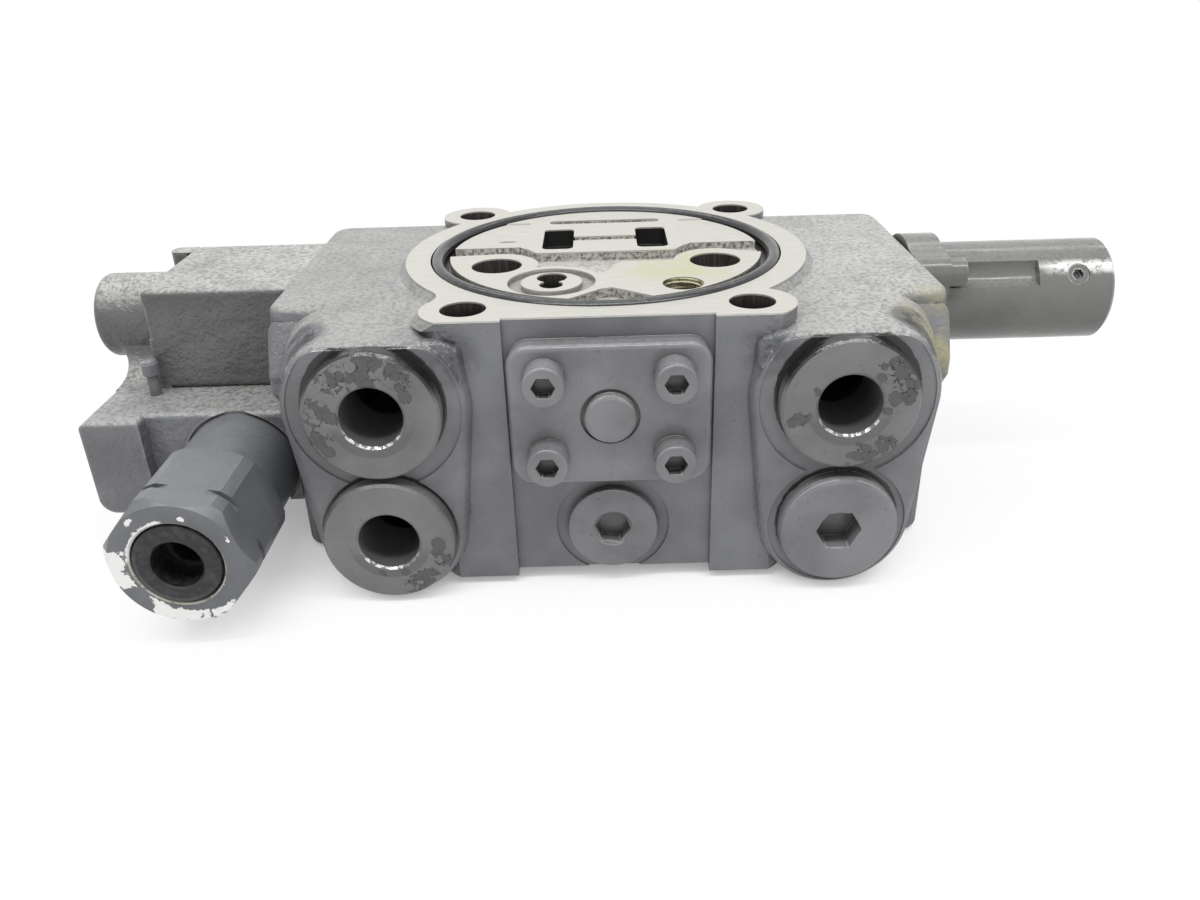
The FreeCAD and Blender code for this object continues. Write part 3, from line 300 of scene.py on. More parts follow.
def grain(tree, where, per_metre, detail=3.0, roughness=0.55):
    """Cloudy grain from 0 to 1, with the given number of grains in a metre."""
    feeds = {"Vector": where, "Scale": per_metre, "Detail": detail, "Roughness": roughness}
    return node(tree, "TexNoise", feeds)


def fade(tree, value, low, high, start=0.0, end=1.0):
    """Soft step from start to end while value goes from low to high."""
    feeds = {0: value, 1: low, 2: high, 3: start, 4: end}
    return node(tree, "MapRange", feeds, interpolation_type="SMOOTHSTEP")


def patches(tree, where, per_metre, detail, low, high, start=0.0, end=1.0, roughness=0.55):
    """Grain sharpened to patches: start where the grain is below low, end where it is above high."""
    return fade(tree, grain(tree, where, per_metre, detail, roughness), low, high, start, end)


def tint(tree, mask, under, over):
    """The colour over laid on the colour under where mask is 1."""
    return node(tree, "Mix", {0: mask, 6: under, 7: over}, out=2, data_type="RGBA")


def weigh(tree, mask, under, over):
    """The number over in place of the number under where mask is 1."""
    return node(tree, "Mix", {0: mask, 2: under, 3: over}, data_type="FLOAT")


def near(tree, where, point, inner, outer):
    """1 within inner of a point, falling to 0 at outer."""
    gap = node(tree, "VectorMath", {0: where, 1: point}, out=1, operation="DISTANCE")
    return fade(tree, gap, inner, outer, 1.0, 0.0)


def from_axis(tree, across, along, centre_across, centre_along):
    """Distance from a straight axis, from the two coordinates square to it."""
    first = difference(tree, across, centre_across)
    second = difference(tree, along, centre_along)
    squares = calc(tree, "MULTIPLY_ADD", first, first, overlap(tree, second, second))
    return calc(tree, "SQRT", squares)


def edges(tree, reach):
    """1 along the rounded edges of a form, 0 on its open faces."""
    rounded = node(tree, "Bevel", {"Radius": reach}, samples=6)
    plain = node(tree, "NewGeometry", out="Normal")
    same = node(tree, "VectorMath", {0: rounded, 1: plain}, out=1, operation="DOT_PRODUCT")
    return fade(tree, same, 0.99, 0.92)


def torn(tree, where, reach):
    """Places pushed about by up to reach, so that what is drawn from them has a ragged edge."""
    feeds = {"Vector": where, "Scale": 280.0, "Detail": 6.0, "Roughness": 0.68}
    push = node(tree, "TexNoise", feeds, out="Color")
    push = node(tree, "VectorMath", {0: push, 1: (0.5, 0.5, 0.5)}, operation="SUBTRACT")
    push = node(tree, "VectorMath", {0: push, 3: 2.5 * reach}, operation="SCALE")
    return node(tree, "VectorMath", {0: where, 1: push}, operation="ADD")


def upward(tree, low=0.35, high=0.9):
    """1 on faces that look up."""
    lean = split_up(tree, node(tree, "NewGeometry", out="Normal"))[2]
    return fade(tree, lean, low, high)


def heights(tree, *layers):
    """Height in metres from (height from 0 to 1, depth in metres) pairs."""
    total = 0.0
    for height, depth in layers:
        total = calc(tree, "MULTIPLY_ADD", height, depth, total)
    return total


def bumps(tree, *layers):
    """Surface relief from (height from 0 to 1, depth in metres) pairs."""
    return node(tree, "Bump", {"Height": heights(tree, *layers), "Distance": 1.0})


def coat(material, tree, colour, roughness, normal=None, metallic=0.0):
    """Joins the shader to what is given and to the material's output."""
    feeds = {"Base Color": colour, "Roughness": roughness, "Metallic": metallic}
    if normal is not None:
        feeds["Normal"] = normal
    finish_tree(tree, "OutputMaterial", node(tree, "BsdfPrincipled", feeds))
    return material


def wear(material, *names):
    """Gives a material to CAD nodes or to pieces of the scene."""
    for name in names:
        piece = cad_nodes[name] if name in cad_nodes else bpy.data.objects[name]
        piece.data.materials.clear()
        piece.data.materials.append(material)


def cast_layers(tree, where):
    """Relief of a sand casting: shallow waves, coarse and fine grain, and scattered pits."""
    pits = node(tree, "TexVoronoi", {"Vector": where, "Scale": 210.0, "Randomness": 1.0})
    return (
        (grain(tree, where, 38.0, 2.0), 2.2 * mm),
        (grain(tree, where, 240.0, 3.0, 0.6), 1.0 * mm),
        (grain(tree, where, 640.0, 3.0, 0.6), 0.42 * mm),
        (fade(tree, pits, 0.02, 0.22), 0.10 * mm),
    )


def paint_colour(tree, where, base, dust, dust_share=1.0, clean=0.0):
    """Cloudy grey paint, dust on top, specks of grime, and painted shade in the corners. No dust lies
    where clean is 1.
    """
    darker = tuple(channel * 0.80 for channel in base[:3]) + (1,)
    lighter = tuple(channel * 1.16 for channel in base[:3]) + (1,)
    colour = tint(tree, patches(tree, where, 28.0, 5.0, 0.32, 0.68), darker, lighter)
    speck = grain(tree, where, 520.0, 3.0, 0.6)
    dusted = overlap(
        tree,
        upward(tree),
        patches(tree, where, 60.0, 6.0, 0.22, 0.60, 0.55, dust_share),
        fade(tree, speck, 0.32, 0.60, 0.20, 1.0),
        without(tree, clean),
    )
    colour = tint(tree, dusted, colour, dust)
    colour = tint(tree, fade(tree, speck, 0.64, 0.74, 0.0, 0.5), colour, grime_and_shade)
    # painted shade: the paint darkens where the surface is sheltered, in corners and under edges
    painted_corner_shade = fade(tree, shelter(tree, 3 * mm, 4), 0.25, 0.80, 0.55, 0.0)
    return tint(tree, painted_corner_shade, colour, grime_and_shade)


def body_finish():
    material, tree = new_material("cast_body_paint")
    where = place_of(tree)
    x, y, z = split_up(tree, where)
    half = calc(tree, "ABSOLUTE", x)
    mirrored = joined(tree, half, y, 0.0)
    flat = joined(tree, x, y, 0.0)
    spread = joined(tree, half, y, z)
    radius = length_of(tree, flat)

    # masks: the milled face, the pockets between its lands, and all that was drilled or cored
    milled = fade(tree, z, -milled_depth - 0.15 * mm, -milled_depth)
    in_groove = overlap(tree, fade(tree, radius, groove_outside, groove_outside - soft_edge),
                        fade(tree, z, -face_cut_limit - 1 * mm, -face_cut_limit))
    bolt = either(tree, near(tree, mirrored, front_bolts, bolt_wall, bolt_wall + 0.1 * mm),
                  near(tree, mirrored, back_bolts, bolt_wall, bolt_wall + 0.1 * mm))
    core = overlap(
        tree,
        fade(tree, y, core_front - 2 * mm, core_front),
        fade(tree, y, core_back + 2 * mm, core_back),
        fade(tree, z, core_roof + 1 * mm, core_roof),
        fade(tree, z, core_floor - 2 * mm, core_floor),
        fade(tree, half, core_half + 1 * mm, core_half),
    )
    upper_round = from_axis(tree, half, z, port_across, upper_height)
    lower_round = from_axis(tree, half, z, port_across, lower_height)
    port_round = calc(tree, "MINIMUM", upper_round, lower_round)
    passage = overlap(
        tree,
        fade(tree, port_round, passage_reach + 0.4 * mm, passage_reach),
        fade(tree, y, passage_front - 1 * mm, passage_front),
        fade(tree, y, core_front + 2 * mm, core_front),
    )
    bored = either(tree, bolt, core, passage, in_groove)
    beside = apart(tree, half, window_centre[0])
    behind = apart(tree, y, window_centre[1])
    window = overlap(tree, fade(tree, beside, window_reach[0] + 0.1 * mm, window_reach[0]),
                     fade(tree, behind, window_reach[1] + 0.1 * mm, window_reach[1]))
    oil_hole = near(tree, mirrored, oil_holes, oil_hole_wall, oil_hole_wall + soft_edge)
    twin_holes = near(tree, flat, ring_seat, twin_hole_reach, twin_hole_reach + soft_edge)
    pocket = overlap(
        tree,
        fade(tree, radius, land_outside + soft_edge, land_outside),
        fade(tree, z, -pocket_limit - 0.5 * mm, -pocket_limit),
        without(tree, either(tree, window, oil_hole, twin_holes)),
    )

    # painted casting: hollows without dust, darkened partly as wet paint and partly as painted shade,
    # stains, and dark crescents round the ports, partly oil and partly painted shade
    hollow = near(tree, spread, shoulder_hollow, 0.0, hollow_reach)
    ear = near(tree, spread, ear_hollow, 5 * mm, 14 * mm)
    bare_paint = either(tree, fade(tree, hollow, 0.05, 0.45), ear)
    dust = tint(tree, fade(tree, x, 60 * mm, 115 * mm), dusty_paint, pale_dust)
    colour = paint_colour(tree, where, grey_paint, dust, 1.0, bare_paint)
    # the hollows darken, partly as wet paint and partly as painted shade of the hollow
    wet_and_shaded = overlap(tree, bare_paint, patches(tree, where, 130.0, 4.0, 0.36, 0.56, 0.2, 0.75))
    colour = tint(tree, wet_and_shaded, colour, wet_and_shaded_paint)
    stained = either(tree, near(tree, where, upper_stain, 10 * mm, 32 * mm),
                     near(tree, where, lower_stain, 2 * mm, 26 * mm))
    stained = overlap(tree, stained, patches(tree, where, 90.0, 5.0, 0.34, 0.54, 0.0, 0.9))
    colour = tint(tree, stained, colour, olive_stain)
    # dark crescents above the ports: partly oil, partly painted shade in the gap above each bush
    across, _, height = split_up(tree, torn(tree, spread, 0.7 * mm))
    upper_arc = from_axis(tree, across, height, port_across, upper_height + upper_oil_shade["raised"])
    lower_arc = from_axis(tree, across, height, port_across, lower_height + lower_oil_shade["raised"])
    lower_reach = fade(tree, x, -1 * mm, 1 * mm, lower_oil_shade["left"], lower_oil_shade["right"])
    oil_and_shade = either(tree, fade(tree, upper_arc, upper_oil_shade["reach"], upper_oil_shade["reach"] - 0.6 * mm),
                   fade(tree, difference(tree, lower_arc, lower_reach), 0.3 * mm, -0.3 * mm))
    oil_and_shade = overlap(tree, oil_and_shade, fade(tree, y, oil_shade_depth, oil_shade_depth - 0.5 * mm))
    colour = tint(tree, overlap(tree, oil_and_shade, 0.95), colour, deep_shade)

    # milled face: feed marks across it, yellow oil on its front right land,
    # and at the rear left a thin slot five times as long as wide, painted dark as its shade
    streaks = grain(tree, stretched(tree, where, (90.0, 1900.0, 90.0)), 1.0, 3.0)
    bright = tint(tree, fade(tree, streaks, 0.35, 0.65, 0.0, 0.30), milled_iron, feed_mark)
    oily = overlap(tree, near(tree, where, oiled_spot, 6 * mm, 38 * mm),
                   patches(tree, where, 70.0, 4.0, 0.36, 0.56))
    bright = tint(tree, oily, bright, oiled_land)
    to_slot = tuple(-place for place in thin_slot)
    slot_shade = node(tree, "VectorMath", {0: where, 1: to_slot}, operation="ADD")
    slot_shade = node(tree, "VectorMath", {0: slot_shade, 1: (0.2, 1.0, 0.0)}, operation="MULTIPLY")
    slot_shade = fade(tree, length_of(tree, slot_shade), thin_slot_half + 0.3 * mm, thin_slot_half)
    bright = tint(tree, slot_shade, bright, deep_shade)

    # drilled and cored walls: painted shade darkens them with depth and fills the window walls, and the
    # pockets keep their cast skin
    down = stretched(tree, where, (900.0, 900.0, 60.0))
    drilled = tint(tree, patches(tree, down, 1.0, 3.0, 0.42, 0.70), drilled_iron_in_shade, drill_streak)
    # painted shade grows with depth and is full below shade_from, which lies deeper in the oil holes
    shade_from = weigh(tree, oil_hole, -7 * mm, -22 * mm)
    deep = fade(tree, calc(tree, "DIVIDE", z, shade_from), 0.1, 1.0, 0.3, 1.0)
    drilled = tint(tree, either(tree, deep, window), drilled, deep_shade)
    flecks = weigh(tree, fade(tree, z, *pocket_wall), 0.42, 0.85)
    rough = tint(tree, patches(tree, where, 620.0, 4.0, 0.34, 0.60, flecks, 0.0), cast_pocket, grime_and_shade)
    seat_floor = near(tree, flat, ring_seat, ring_seat_wall, ring_seat_wall + soft_edge)
    rough = tint(tree, seat_floor, rough, feed_mark)
    colour = tint(tree, bored, colour, drilled)
    colour = tint(tree, pocket, colour, rough)
    colour = tint(tree, milled, colour, bright)

    # gloss: paint shines in its hollows, along its edges and over the ports, and the milled face most
    crown = overlap(tree, fade(tree, y, -90 * mm, -93 * mm), fade(tree, z, -40 * mm, -20 * mm))
    edge_band = overlap(tree, edges(tree, 2.4 * mm), patches(tree, where, 95.0, 3.0, 0.40, 0.50))
    glossy = either(tree, bare_paint, overlap(tree, crown, patches(tree, where, 80.0, 3.0, 0.30, 0.42)))
    worn = patches(tree, where, 55.0, 4.0, 0.35, 0.65, 0.54, 0.36)
    shine = weigh(tree, either(tree, glossy, edge_band, oil_and_shade), worn, 0.15)
    shine = weigh(tree, milled, shine, fade(tree, streaks, 0.3, 0.7, 0.36, 0.50))
    cut = either(tree, milled, overlap(tree, bored, without(tree, pocket)))
    metal = weigh(tree, overlap(tree, cut, fade(tree, z, -10 * mm, -2 * mm)), 0.0, 0.40)

    # relief: cast grain everywhere but on what was cut, with swells in the glossy paint
    spot = fade(tree, y, boss_front, boss_front - 0.4 * mm)
    panel = overlap(tree, fade(tree, half, panel_reach + 3 * mm, panel_reach),
                    fade(tree, y, -80 * mm, -86 * mm))
    open_grain = fade(tree, either(tree, cut, spot, panel), 0.0, 1.0, 1.0, 0.06)
    layers = cast_layers(tree, where)
    middle = sum(depth for _, depth in layers) / 2
    cast_relief = overlap(tree, difference(tree, heights(tree, *layers), middle), open_grain)
    swells = overlap(tree, difference(tree, grain(tree, where, 150.0, 2.0), 0.5), glossy, open_grain)
    normal = bumps(tree, (cast_relief, 1.0), (swells, 3.2 * mm), (hollow, -hollow_depth))
    return coat(material, tree, colour, shine, normal, metal)


wear(body_finish(), "valve_body")

# The large O-ring is black nitrile rubber, pressed into its groove in the flange face.
# Oil gives it a satin sheen, and dust sits on its crown. The small seals are of the same rubber.
rubber = (0.022, 0.023, 0.025, 1)
rubber_dust = (0.12, 0.12, 0.12, 1)


def rubber_finish():
    material, tree = new_material("nitrile_rubber")
    where = place_of(tree)
    dusted = overlap(tree, upward(tree), patches(tree, where, 300.0, 4.0, 0.45, 0.75, 0.0, 0.4))
    colour = tint(tree, dusted, rubber, rubber_dust)
    shine = patches(tree, where, 90.0, 3.0, 0.3, 0.7, 0.14, 0.26)
    return coat(material, tree, colour, shine, bumps(tree, (grain(tree, where, 900.0, 2.0), 0.03 * mm)))


wear(rubber_finish(), "flange_o_ring", "port_o_rings", "plug_o_ring", "cover_o_ring", "centre_plug_o_ring",
     "housing_o_ring", "relief_o_ring", "cap_o_ring")

# The orifice plug is a small turned steel plug with yellow zinc plate and an oil hole.
# It sits in a tapped hole of the flange face, whose thread shows above it.
orifice_centre = Vector((31.0, -52.2, 0)) * mm
orifice_wall = 8.4 * mm
orifice_thread_bottom = -5.0 * mm
orifice_thread_top = -0.6 * mm
orifice_pitch = 1.25 * mm
orifice_thread_depth = 0.7 * mm
thread_steps = 40
zinc = (0.52, 0.50, 0.34, 1)
zinc_dark = (0.17, 0.16, 0.10, 1)


def zinc_finish():
    material, tree = new_material("yellow_zinc")
    where = place_of(tree)
    colour = tint(tree, patches(tree, where, 260.0, 4.0, 0.35, 0.65), zinc, zinc_dark)
    # painted shade: the zinc darkens where it is sheltered, round its shoulder and in its hole
    colour = tint(tree, fade(tree, shelter(tree, 3 * mm, 4), 0.2, 0.8, 0.6, 0.0), colour, grime_and_shade)
    shine = patches(tree, where, 500.0, 2.0, 0.3, 0.7, 0.22, 0.4)
    return coat(material, tree, colour, shine, metallic=0.85)


def thread_ridge(name, start, axis, side, wall, pitch, length, depth):
    """Helical ridge of a tapped hole, from its start along the axis. It fades out at both ends."""
    turns = length / pitch
    across = axis.cross(side)
    form = bmesh.new()
    rings = []
    for step in range(int(turns * thread_steps) + 1):
        angle = 2 * math.pi * step / thread_steps
        out = side * math.cos(angle) + across * math.sin(angle)
        along = step / thread_steps * pitch
        ease = min(1.0, step / thread_steps, (turns * thread_steps - step) / thread_steps)
        crest = wall - depth * max(ease, 0.05)
        profile = ((wall, -0.42), (crest, -0.08), (crest, 0.08), (wall, 0.42))
        points = [start + out * reach + axis * (along + shift * pitch) for reach, shift in profile]
        rings.append([form.verts.new(point) for point in points])
    for first, second in zip(rings, rings[1:]):
        for low in range(len(first)):
            high = (low + 1) % len(first)
            form.faces.new((first[low], first[high], second[high], second[low]))
    form.faces.new(rings[0])
    form.faces.new(reversed(rings[-1]))
    bmesh.ops.recalc_face_normals(form, faces=form.faces)
    mesh = bpy.data.meshes.new(name)
    form.to_mesh(mesh)
    form.free()
    return link_object(name, mesh)


orifice_thread = thread_ridge(
    "orifice_thread", orifice_centre + Vector((0, 0, orifice_thread_bottom)), Vector((0, 0, 1)),
    Vector((1, 0, 0)), orifice_wall, orifice_pitch, orifice_thread_top - orifice_thread_bottom,
    orifice_thread_depth)
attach(orifice_thread, "valve")
wear(zinc_finish(), "orifice_plug", "orifice_thread")

# The three port bushes are turned steel, screwed into the casting and painted over with it.
# Heat and oil have darkened and lifted the paint, mostly on the two upper ones, and painted shade darkens
# their barrel tops and chip rims.
# Chips and crackled spots are given as (across, up, reach) in millimetres from the port's centre.
collar = 26.3 * mm
bore = 12.2 * mm
collar_front = -103.0 * mm
lip_width = 0.8 * mm
rubbed_width = 4.4 * mm
bush_paint = (0.156, 0.157, 0.160, 1)
under_coat = (0.080, 0.081, 0.084, 1)
bore_grey = (0.105, 0.105, 0.11, 1)
bare_lip_and_glint = (0.75, 0.75, 0.75, 1)
scorch_and_shade = (0.010, 0.010, 0.012, 1)
bushes = {
    "upper_left_port": {
        "paint": "upper_left_paint", "side": -1, "height": upper_height, "scorched_and_shaded": 1.0,
        "chips": ((-15, 0.5, 3.6), (1, 13.6, 3.2), (14, 8, 3.4), (12.5, 12, 2.6),
                  (-20, -10, 2.8), (-17.5, -13.5, 3.2), (-21.5, -6, 2.4), (10, 19, 3.2)),
        "crackled": ((0, 20, 10), (-12, 16, 9), (12, 17, 8), (-21, 3, 8), (-20, -8, 7)),
    },
    "lower_left_port": {
        "paint": "lower_left_paint", "side": -1, "height": lower_height, "scorched_and_shaded": 0.3,
        "chips": ((20, -1.5, 3.8), (18.5, -4.5, 2.8), (22.5, -8, 2.4), (-4, -14.5, 2.0), (5, -14.5, 2.2)),
        "crackled": ((21, -8, 6), (8, -21, 7), (15, -17, 6)),
    },
    "upper_right_port": {
        "paint": "upper_right_paint", "side": 1, "height": upper_height, "scorched_and_shaded": 1.0,
        "chips": ((16, 2.5, 3.6), (21, 3.5, 3.6), (-16, -4.5, 2.0), (-19, -6, 2.6),
                  (-22, -6.5, 2.8), (14, -2.5, 2.2), (-13, 6, 1.8)),
        "crackled": ((16, 13, 9), (20, 6, 8), (-18, -5, 5), (6, -22, 8), (15, -17, 6)),
    },
}


def bush_finish(bush):
    material, tree = new_material(bush["paint"])
    where = place_of(tree)
    x, y, z = split_up(tree, where)
    centre_across = bush["side"] * port_across
    height = bush["height"]
    out = from_axis(tree, x, z, centre_across, height)
    ragged = torn(tree, where, 2.2 * mm)

    def spread_over(spots, inner):
        """1 in the middle of each spot, falling to 0 at its reach."""
        masks = []
        for across, rise, reach in spots:
            centre = (centre_across + across * mm, collar_front, height + rise * mm)
            masks.append(near(tree, ragged, centre, reach * inner * mm, reach * mm))
        return either(tree, *masks)

    # the paint breaks into flakes: cracks between them, some fallen, and chips with rims darkened as
    # painted shade
    chip = spread_over(bush["chips"], 0.55)
    loose = spread_over(bush["crackled"], 0.4)
    flakes = {"Vector": ragged, "Scale": 300.0, "Randomness": 1.0}
    flake_edge = node(tree, "TexVoronoi", flakes, feature="DISTANCE_TO_EDGE")
    crack = overlap(tree, loose, fade(tree, flake_edge, 0.055, 0.02),
                    patches(tree, where, 520.0, 3.0, 0.46, 0.54))
    lot = node(tree, "SeparateColor", {0: node(tree, "TexVoronoi", flakes, out="Color")})
    fallen = fade(tree, difference(tree, overlap(tree, loose, 0.55), lot), 0.0, 0.05)
    chipped = either(tree, fade(tree, chip, 0.46, 0.54), fallen)
    rim = overlap(tree, fade(tree, chip, 0.30, 0.44), fade(tree, chip, 0.62, 0.48))

    # colour: under coat round the bore and in the chips, a barrel darkened as burnt paint and as painted
    # shade, a grey bore, and a lower lip worn to bare metal and lightened as a painted glint
    inside = fade(tree, out, bore + 0.15 * mm, bore + 0.05 * mm)
    colour = paint_colour(tree, where, bush_paint, dusty_paint, 0.5)
    rubbed_ring = overlap(
        tree,
        fade(tree, apart(tree, out, bore + 2.6 * mm), rubbed_width / 2, rubbed_width / 2 - 0.6 * mm),
        fade(tree, z, height - 2 * mm, height - 8 * mm, 0.0, 0.55),
    )
    colour = tint(tree, rubbed_ring, colour, under_coat)
    colour = tint(tree, chipped, colour, under_coat)
    # chip rims darkened as painted shade, cracks as dark joints
    colour = tint(tree, either(tree, overlap(tree, rim, 0.8), crack), colour, scorch_and_shade)
    # the top of the barrel is darkened, partly as burnt paint and partly as painted shade of the gap above
    # it
    barrel = overlap(tree, fade(tree, out, collar - 1.2 * mm, collar - 0.7 * mm),
                     fade(tree, z, height + 4 * mm, height + 13 * mm, 0.0, bush["scorched_and_shaded"]))
    colour = tint(tree, barrel, colour, scorch_and_shade)
    colour = tint(tree, inside, colour, bore_grey)
    # only the lower lip of the bore is lightened: bare metal and a painted glint
    lip = overlap(
        tree,
        fade(tree, out, bore + lip_width + soft_edge, bore + lip_width),
        fade(tree, y, collar_front + 1.1 * mm, collar_front + 0.9 * mm),
        patches(tree, where, 420.0, 3.0, 0.46, 0.54),
        fade(tree, z, height - 4 * mm, height - 9 * mm),
    )
    colour = tint(tree, lip, colour, bare_lip_and_glint)

    paint_shine = patches(tree, where, 120.0, 3.0, 0.35, 0.65, 0.48, 0.34)
    glaze = patches(tree, stretched(tree, where, (160.0, 700.0, 160.0)), 1.0, 3.0, 0.40, 0.50, 0.55, 0.16)
    shine = weigh(tree, barrel, weigh(tree, lip, paint_shine, 0.18), glaze)
    shine = weigh(tree, inside, shine, 0.45)
    skin = fade(tree, either(tree, chipped, crack), 0.0, 1.0, 1.0, 0.0)
    normal = bumps(
        tree,
        (skin, 0.22 * mm),
        (grain(tree, where, 700.0, 3.0), 0.08 * mm),
        (grain(tree, where, 110.0, 2.0), 0.4 * mm),
    )
    return coat(material, tree, colour, shine, normal, overlap(tree, lip, 0.8))


for bush_name, bush_facts in bushes.items():
    wear(bush_finish(bush_facts), bush_name)

# A round plug with a hexagon socket closes the lower right port, and a smaller one shuts the middle hole.
# The cover plate is cast flat and ground, held by four socket screws, with a round stud in its middle.
# All of them are painted with the body, and their upper edges are lightened, partly as paint rubbed by
# handling and partly as painted highlight.
plate_paint = (0.180, 0.183, 0.191, 1)
plate_dust = (0.235, 0.238, 0.240, 1)
worn_and_highlight_paint = (0.62, 0.62, 0.62, 1)


def smooth_paint_finish(name, base, dust):
    """Paint on turned and ground steel: even, with fine orange peel, painted shade in its sockets, and
    upper edges lightened as wear and as painted highlight.
    """
    material, tree = new_material(name)
    where = place_of(tree)
    colour = paint_colour(tree, where, base, dust, 0.7)
    # painted shade: sheltered sockets turn dark
    socket = fade(tree, shelter(tree, 11 * mm, 4), 0.25, 0.60, 0.85, 0.0)
    colour = tint(tree, socket, colour, deep_shade)
    # upward edges are lightened, partly as rubbed paint and partly as painted highlight
    edge_wear_and_highlight = overlap(tree, edges(tree, 1.4 * mm), upward(tree, 0.10, 0.50),
                          patches(tree, where, 130.0, 3.0, 0.36, 0.50))
    colour = tint(tree, overlap(tree, edge_wear_and_highlight, 0.75), colour, worn_and_highlight_paint)
    shine = patches(tree, where, 75.0, 4.0, 0.3, 0.7, 0.12, 0.24)
    normal = bumps(
        tree,
        (grain(tree, where, 620.0, 2.0), 0.035 * mm),
        (grain(tree, where, 90.0, 2.0), 0.12 * mm),
    )
    return coat(material, tree, colour, weigh(tree, edge_wear_and_highlight, shine, 0.10), normal)


plate_material = smooth_paint_finish("plate_paint", plate_paint, plate_dust)
wear(plate_material, "cover_plate", "cover_stud", "cover_screws", "centre_plug", "lower_right_plug")

# The pilot housing is a second iron casting, bolted to the left end with four long socket screws.
# Its round boss ends in the threaded pilot port, and a small bleed screw stands on the lower block.
pilot_axis = Vector((0, 15.0, -29.3)) * mm
pilot_wall = 6.6 * mm
pilot_mouth = -237.5 * mm
pilot_thread_start = 1.2 * mm
pilot_thread_length = 12.0 * mm
pilot_thread_depth = 0.8 * mm
pilot_pitch = 1.337 * mm
paint_change = (-50.0 * mm, -56.0 * mm)
housing_paint = (0.118, 0.120, 0.120, 1)
thin_dust = (0.275, 0.280, 0.278, 1)


def housing_finish():
    material, tree = new_material("housing_paint")
    where = place_of(tree)
    height = split_up(tree, where)[2]
    colour = tint(tree, fade(tree, height, *paint_change),
                  paint_colour(tree, where, housing_paint, pale_dust),
                  paint_colour(tree, where, grey_paint, thin_dust))
    edge_band = overlap(tree, edges(tree, 2.4 * mm), patches(tree, where, 95.0, 3.0, 0.36, 0.46))
    # edges are lightened, partly as worn paint and partly as painted highlight
    colour = tint(tree, overlap(tree, edge_band, 0.35), colour, dusty_paint)
    shine = weigh(tree, edge_band, patches(tree, where, 60.0, 4.0, 0.35, 0.65, 0.44, 0.22), 0.14)
    return coat(material, tree, colour, shine, bumps(tree, *cast_layers(tree, where)))


pilot_thread = thread_ridge(
    "pilot_thread", pilot_axis + Vector((pilot_mouth + pilot_thread_start, 0, 0)), Vector((1, 0, 0)),
    Vector((0, 1, 0)), pilot_wall, pilot_pitch, pilot_thread_length, pilot_thread_depth)
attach(pilot_thread, "valve")
wear(housing_finish(), "actuator_housing")
wear(plate_material, "housing_screws", "bleed_screw")

# The relief valve is a turned steel body with milled flats, screwed into the lower block and painted.
# Its front face is chipped to bright metal, and a black screwed sleeve fills its mouth.
# Sizes of the chips are across and up from the valve's axis; the small ones are (across, up, reach).
relief_across = -162.6 * mm
relief_height = -78.0 * mm
relief_front = -130.0 * mm
mouth_wall = 17.3 * mm
mouth_edge_width = 0.75 * mm
worn_lip_width = 1.5 * mm
foot_inner = 20.6 * mm
foot_slant = 0.19
foot_top = -12.4 * mm
foot_left, foot_right = -12.4 * mm, 18.0 * mm
foot_split = 8.6 * mm
left_inner = 19.6 * mm
left_edge = -16.4 * mm
left_bottom, left_top = -9.2 * mm, 6.0 * mm
small_chips = (
    (-14.1, 18.7, 1.7), (5.8, 19.6, 1.5), (20.7, 10.5, 1.4), (-12.9, 19.6, 1.1), (15.5, -9.0, 0.7),
)
relief_paint = (0.130, 0.135, 0.147, 1)
relief_dust = (0.165, 0.170, 0.178, 1)
cream_edge = (0.55, 0.52, 0.42, 1)
chipped_metal = (0.80, 0.80, 0.78, 1)
black_oxide = (0.022, 0.022, 0.024, 1)
dull_black = (0.045, 0.045, 0.048, 1)


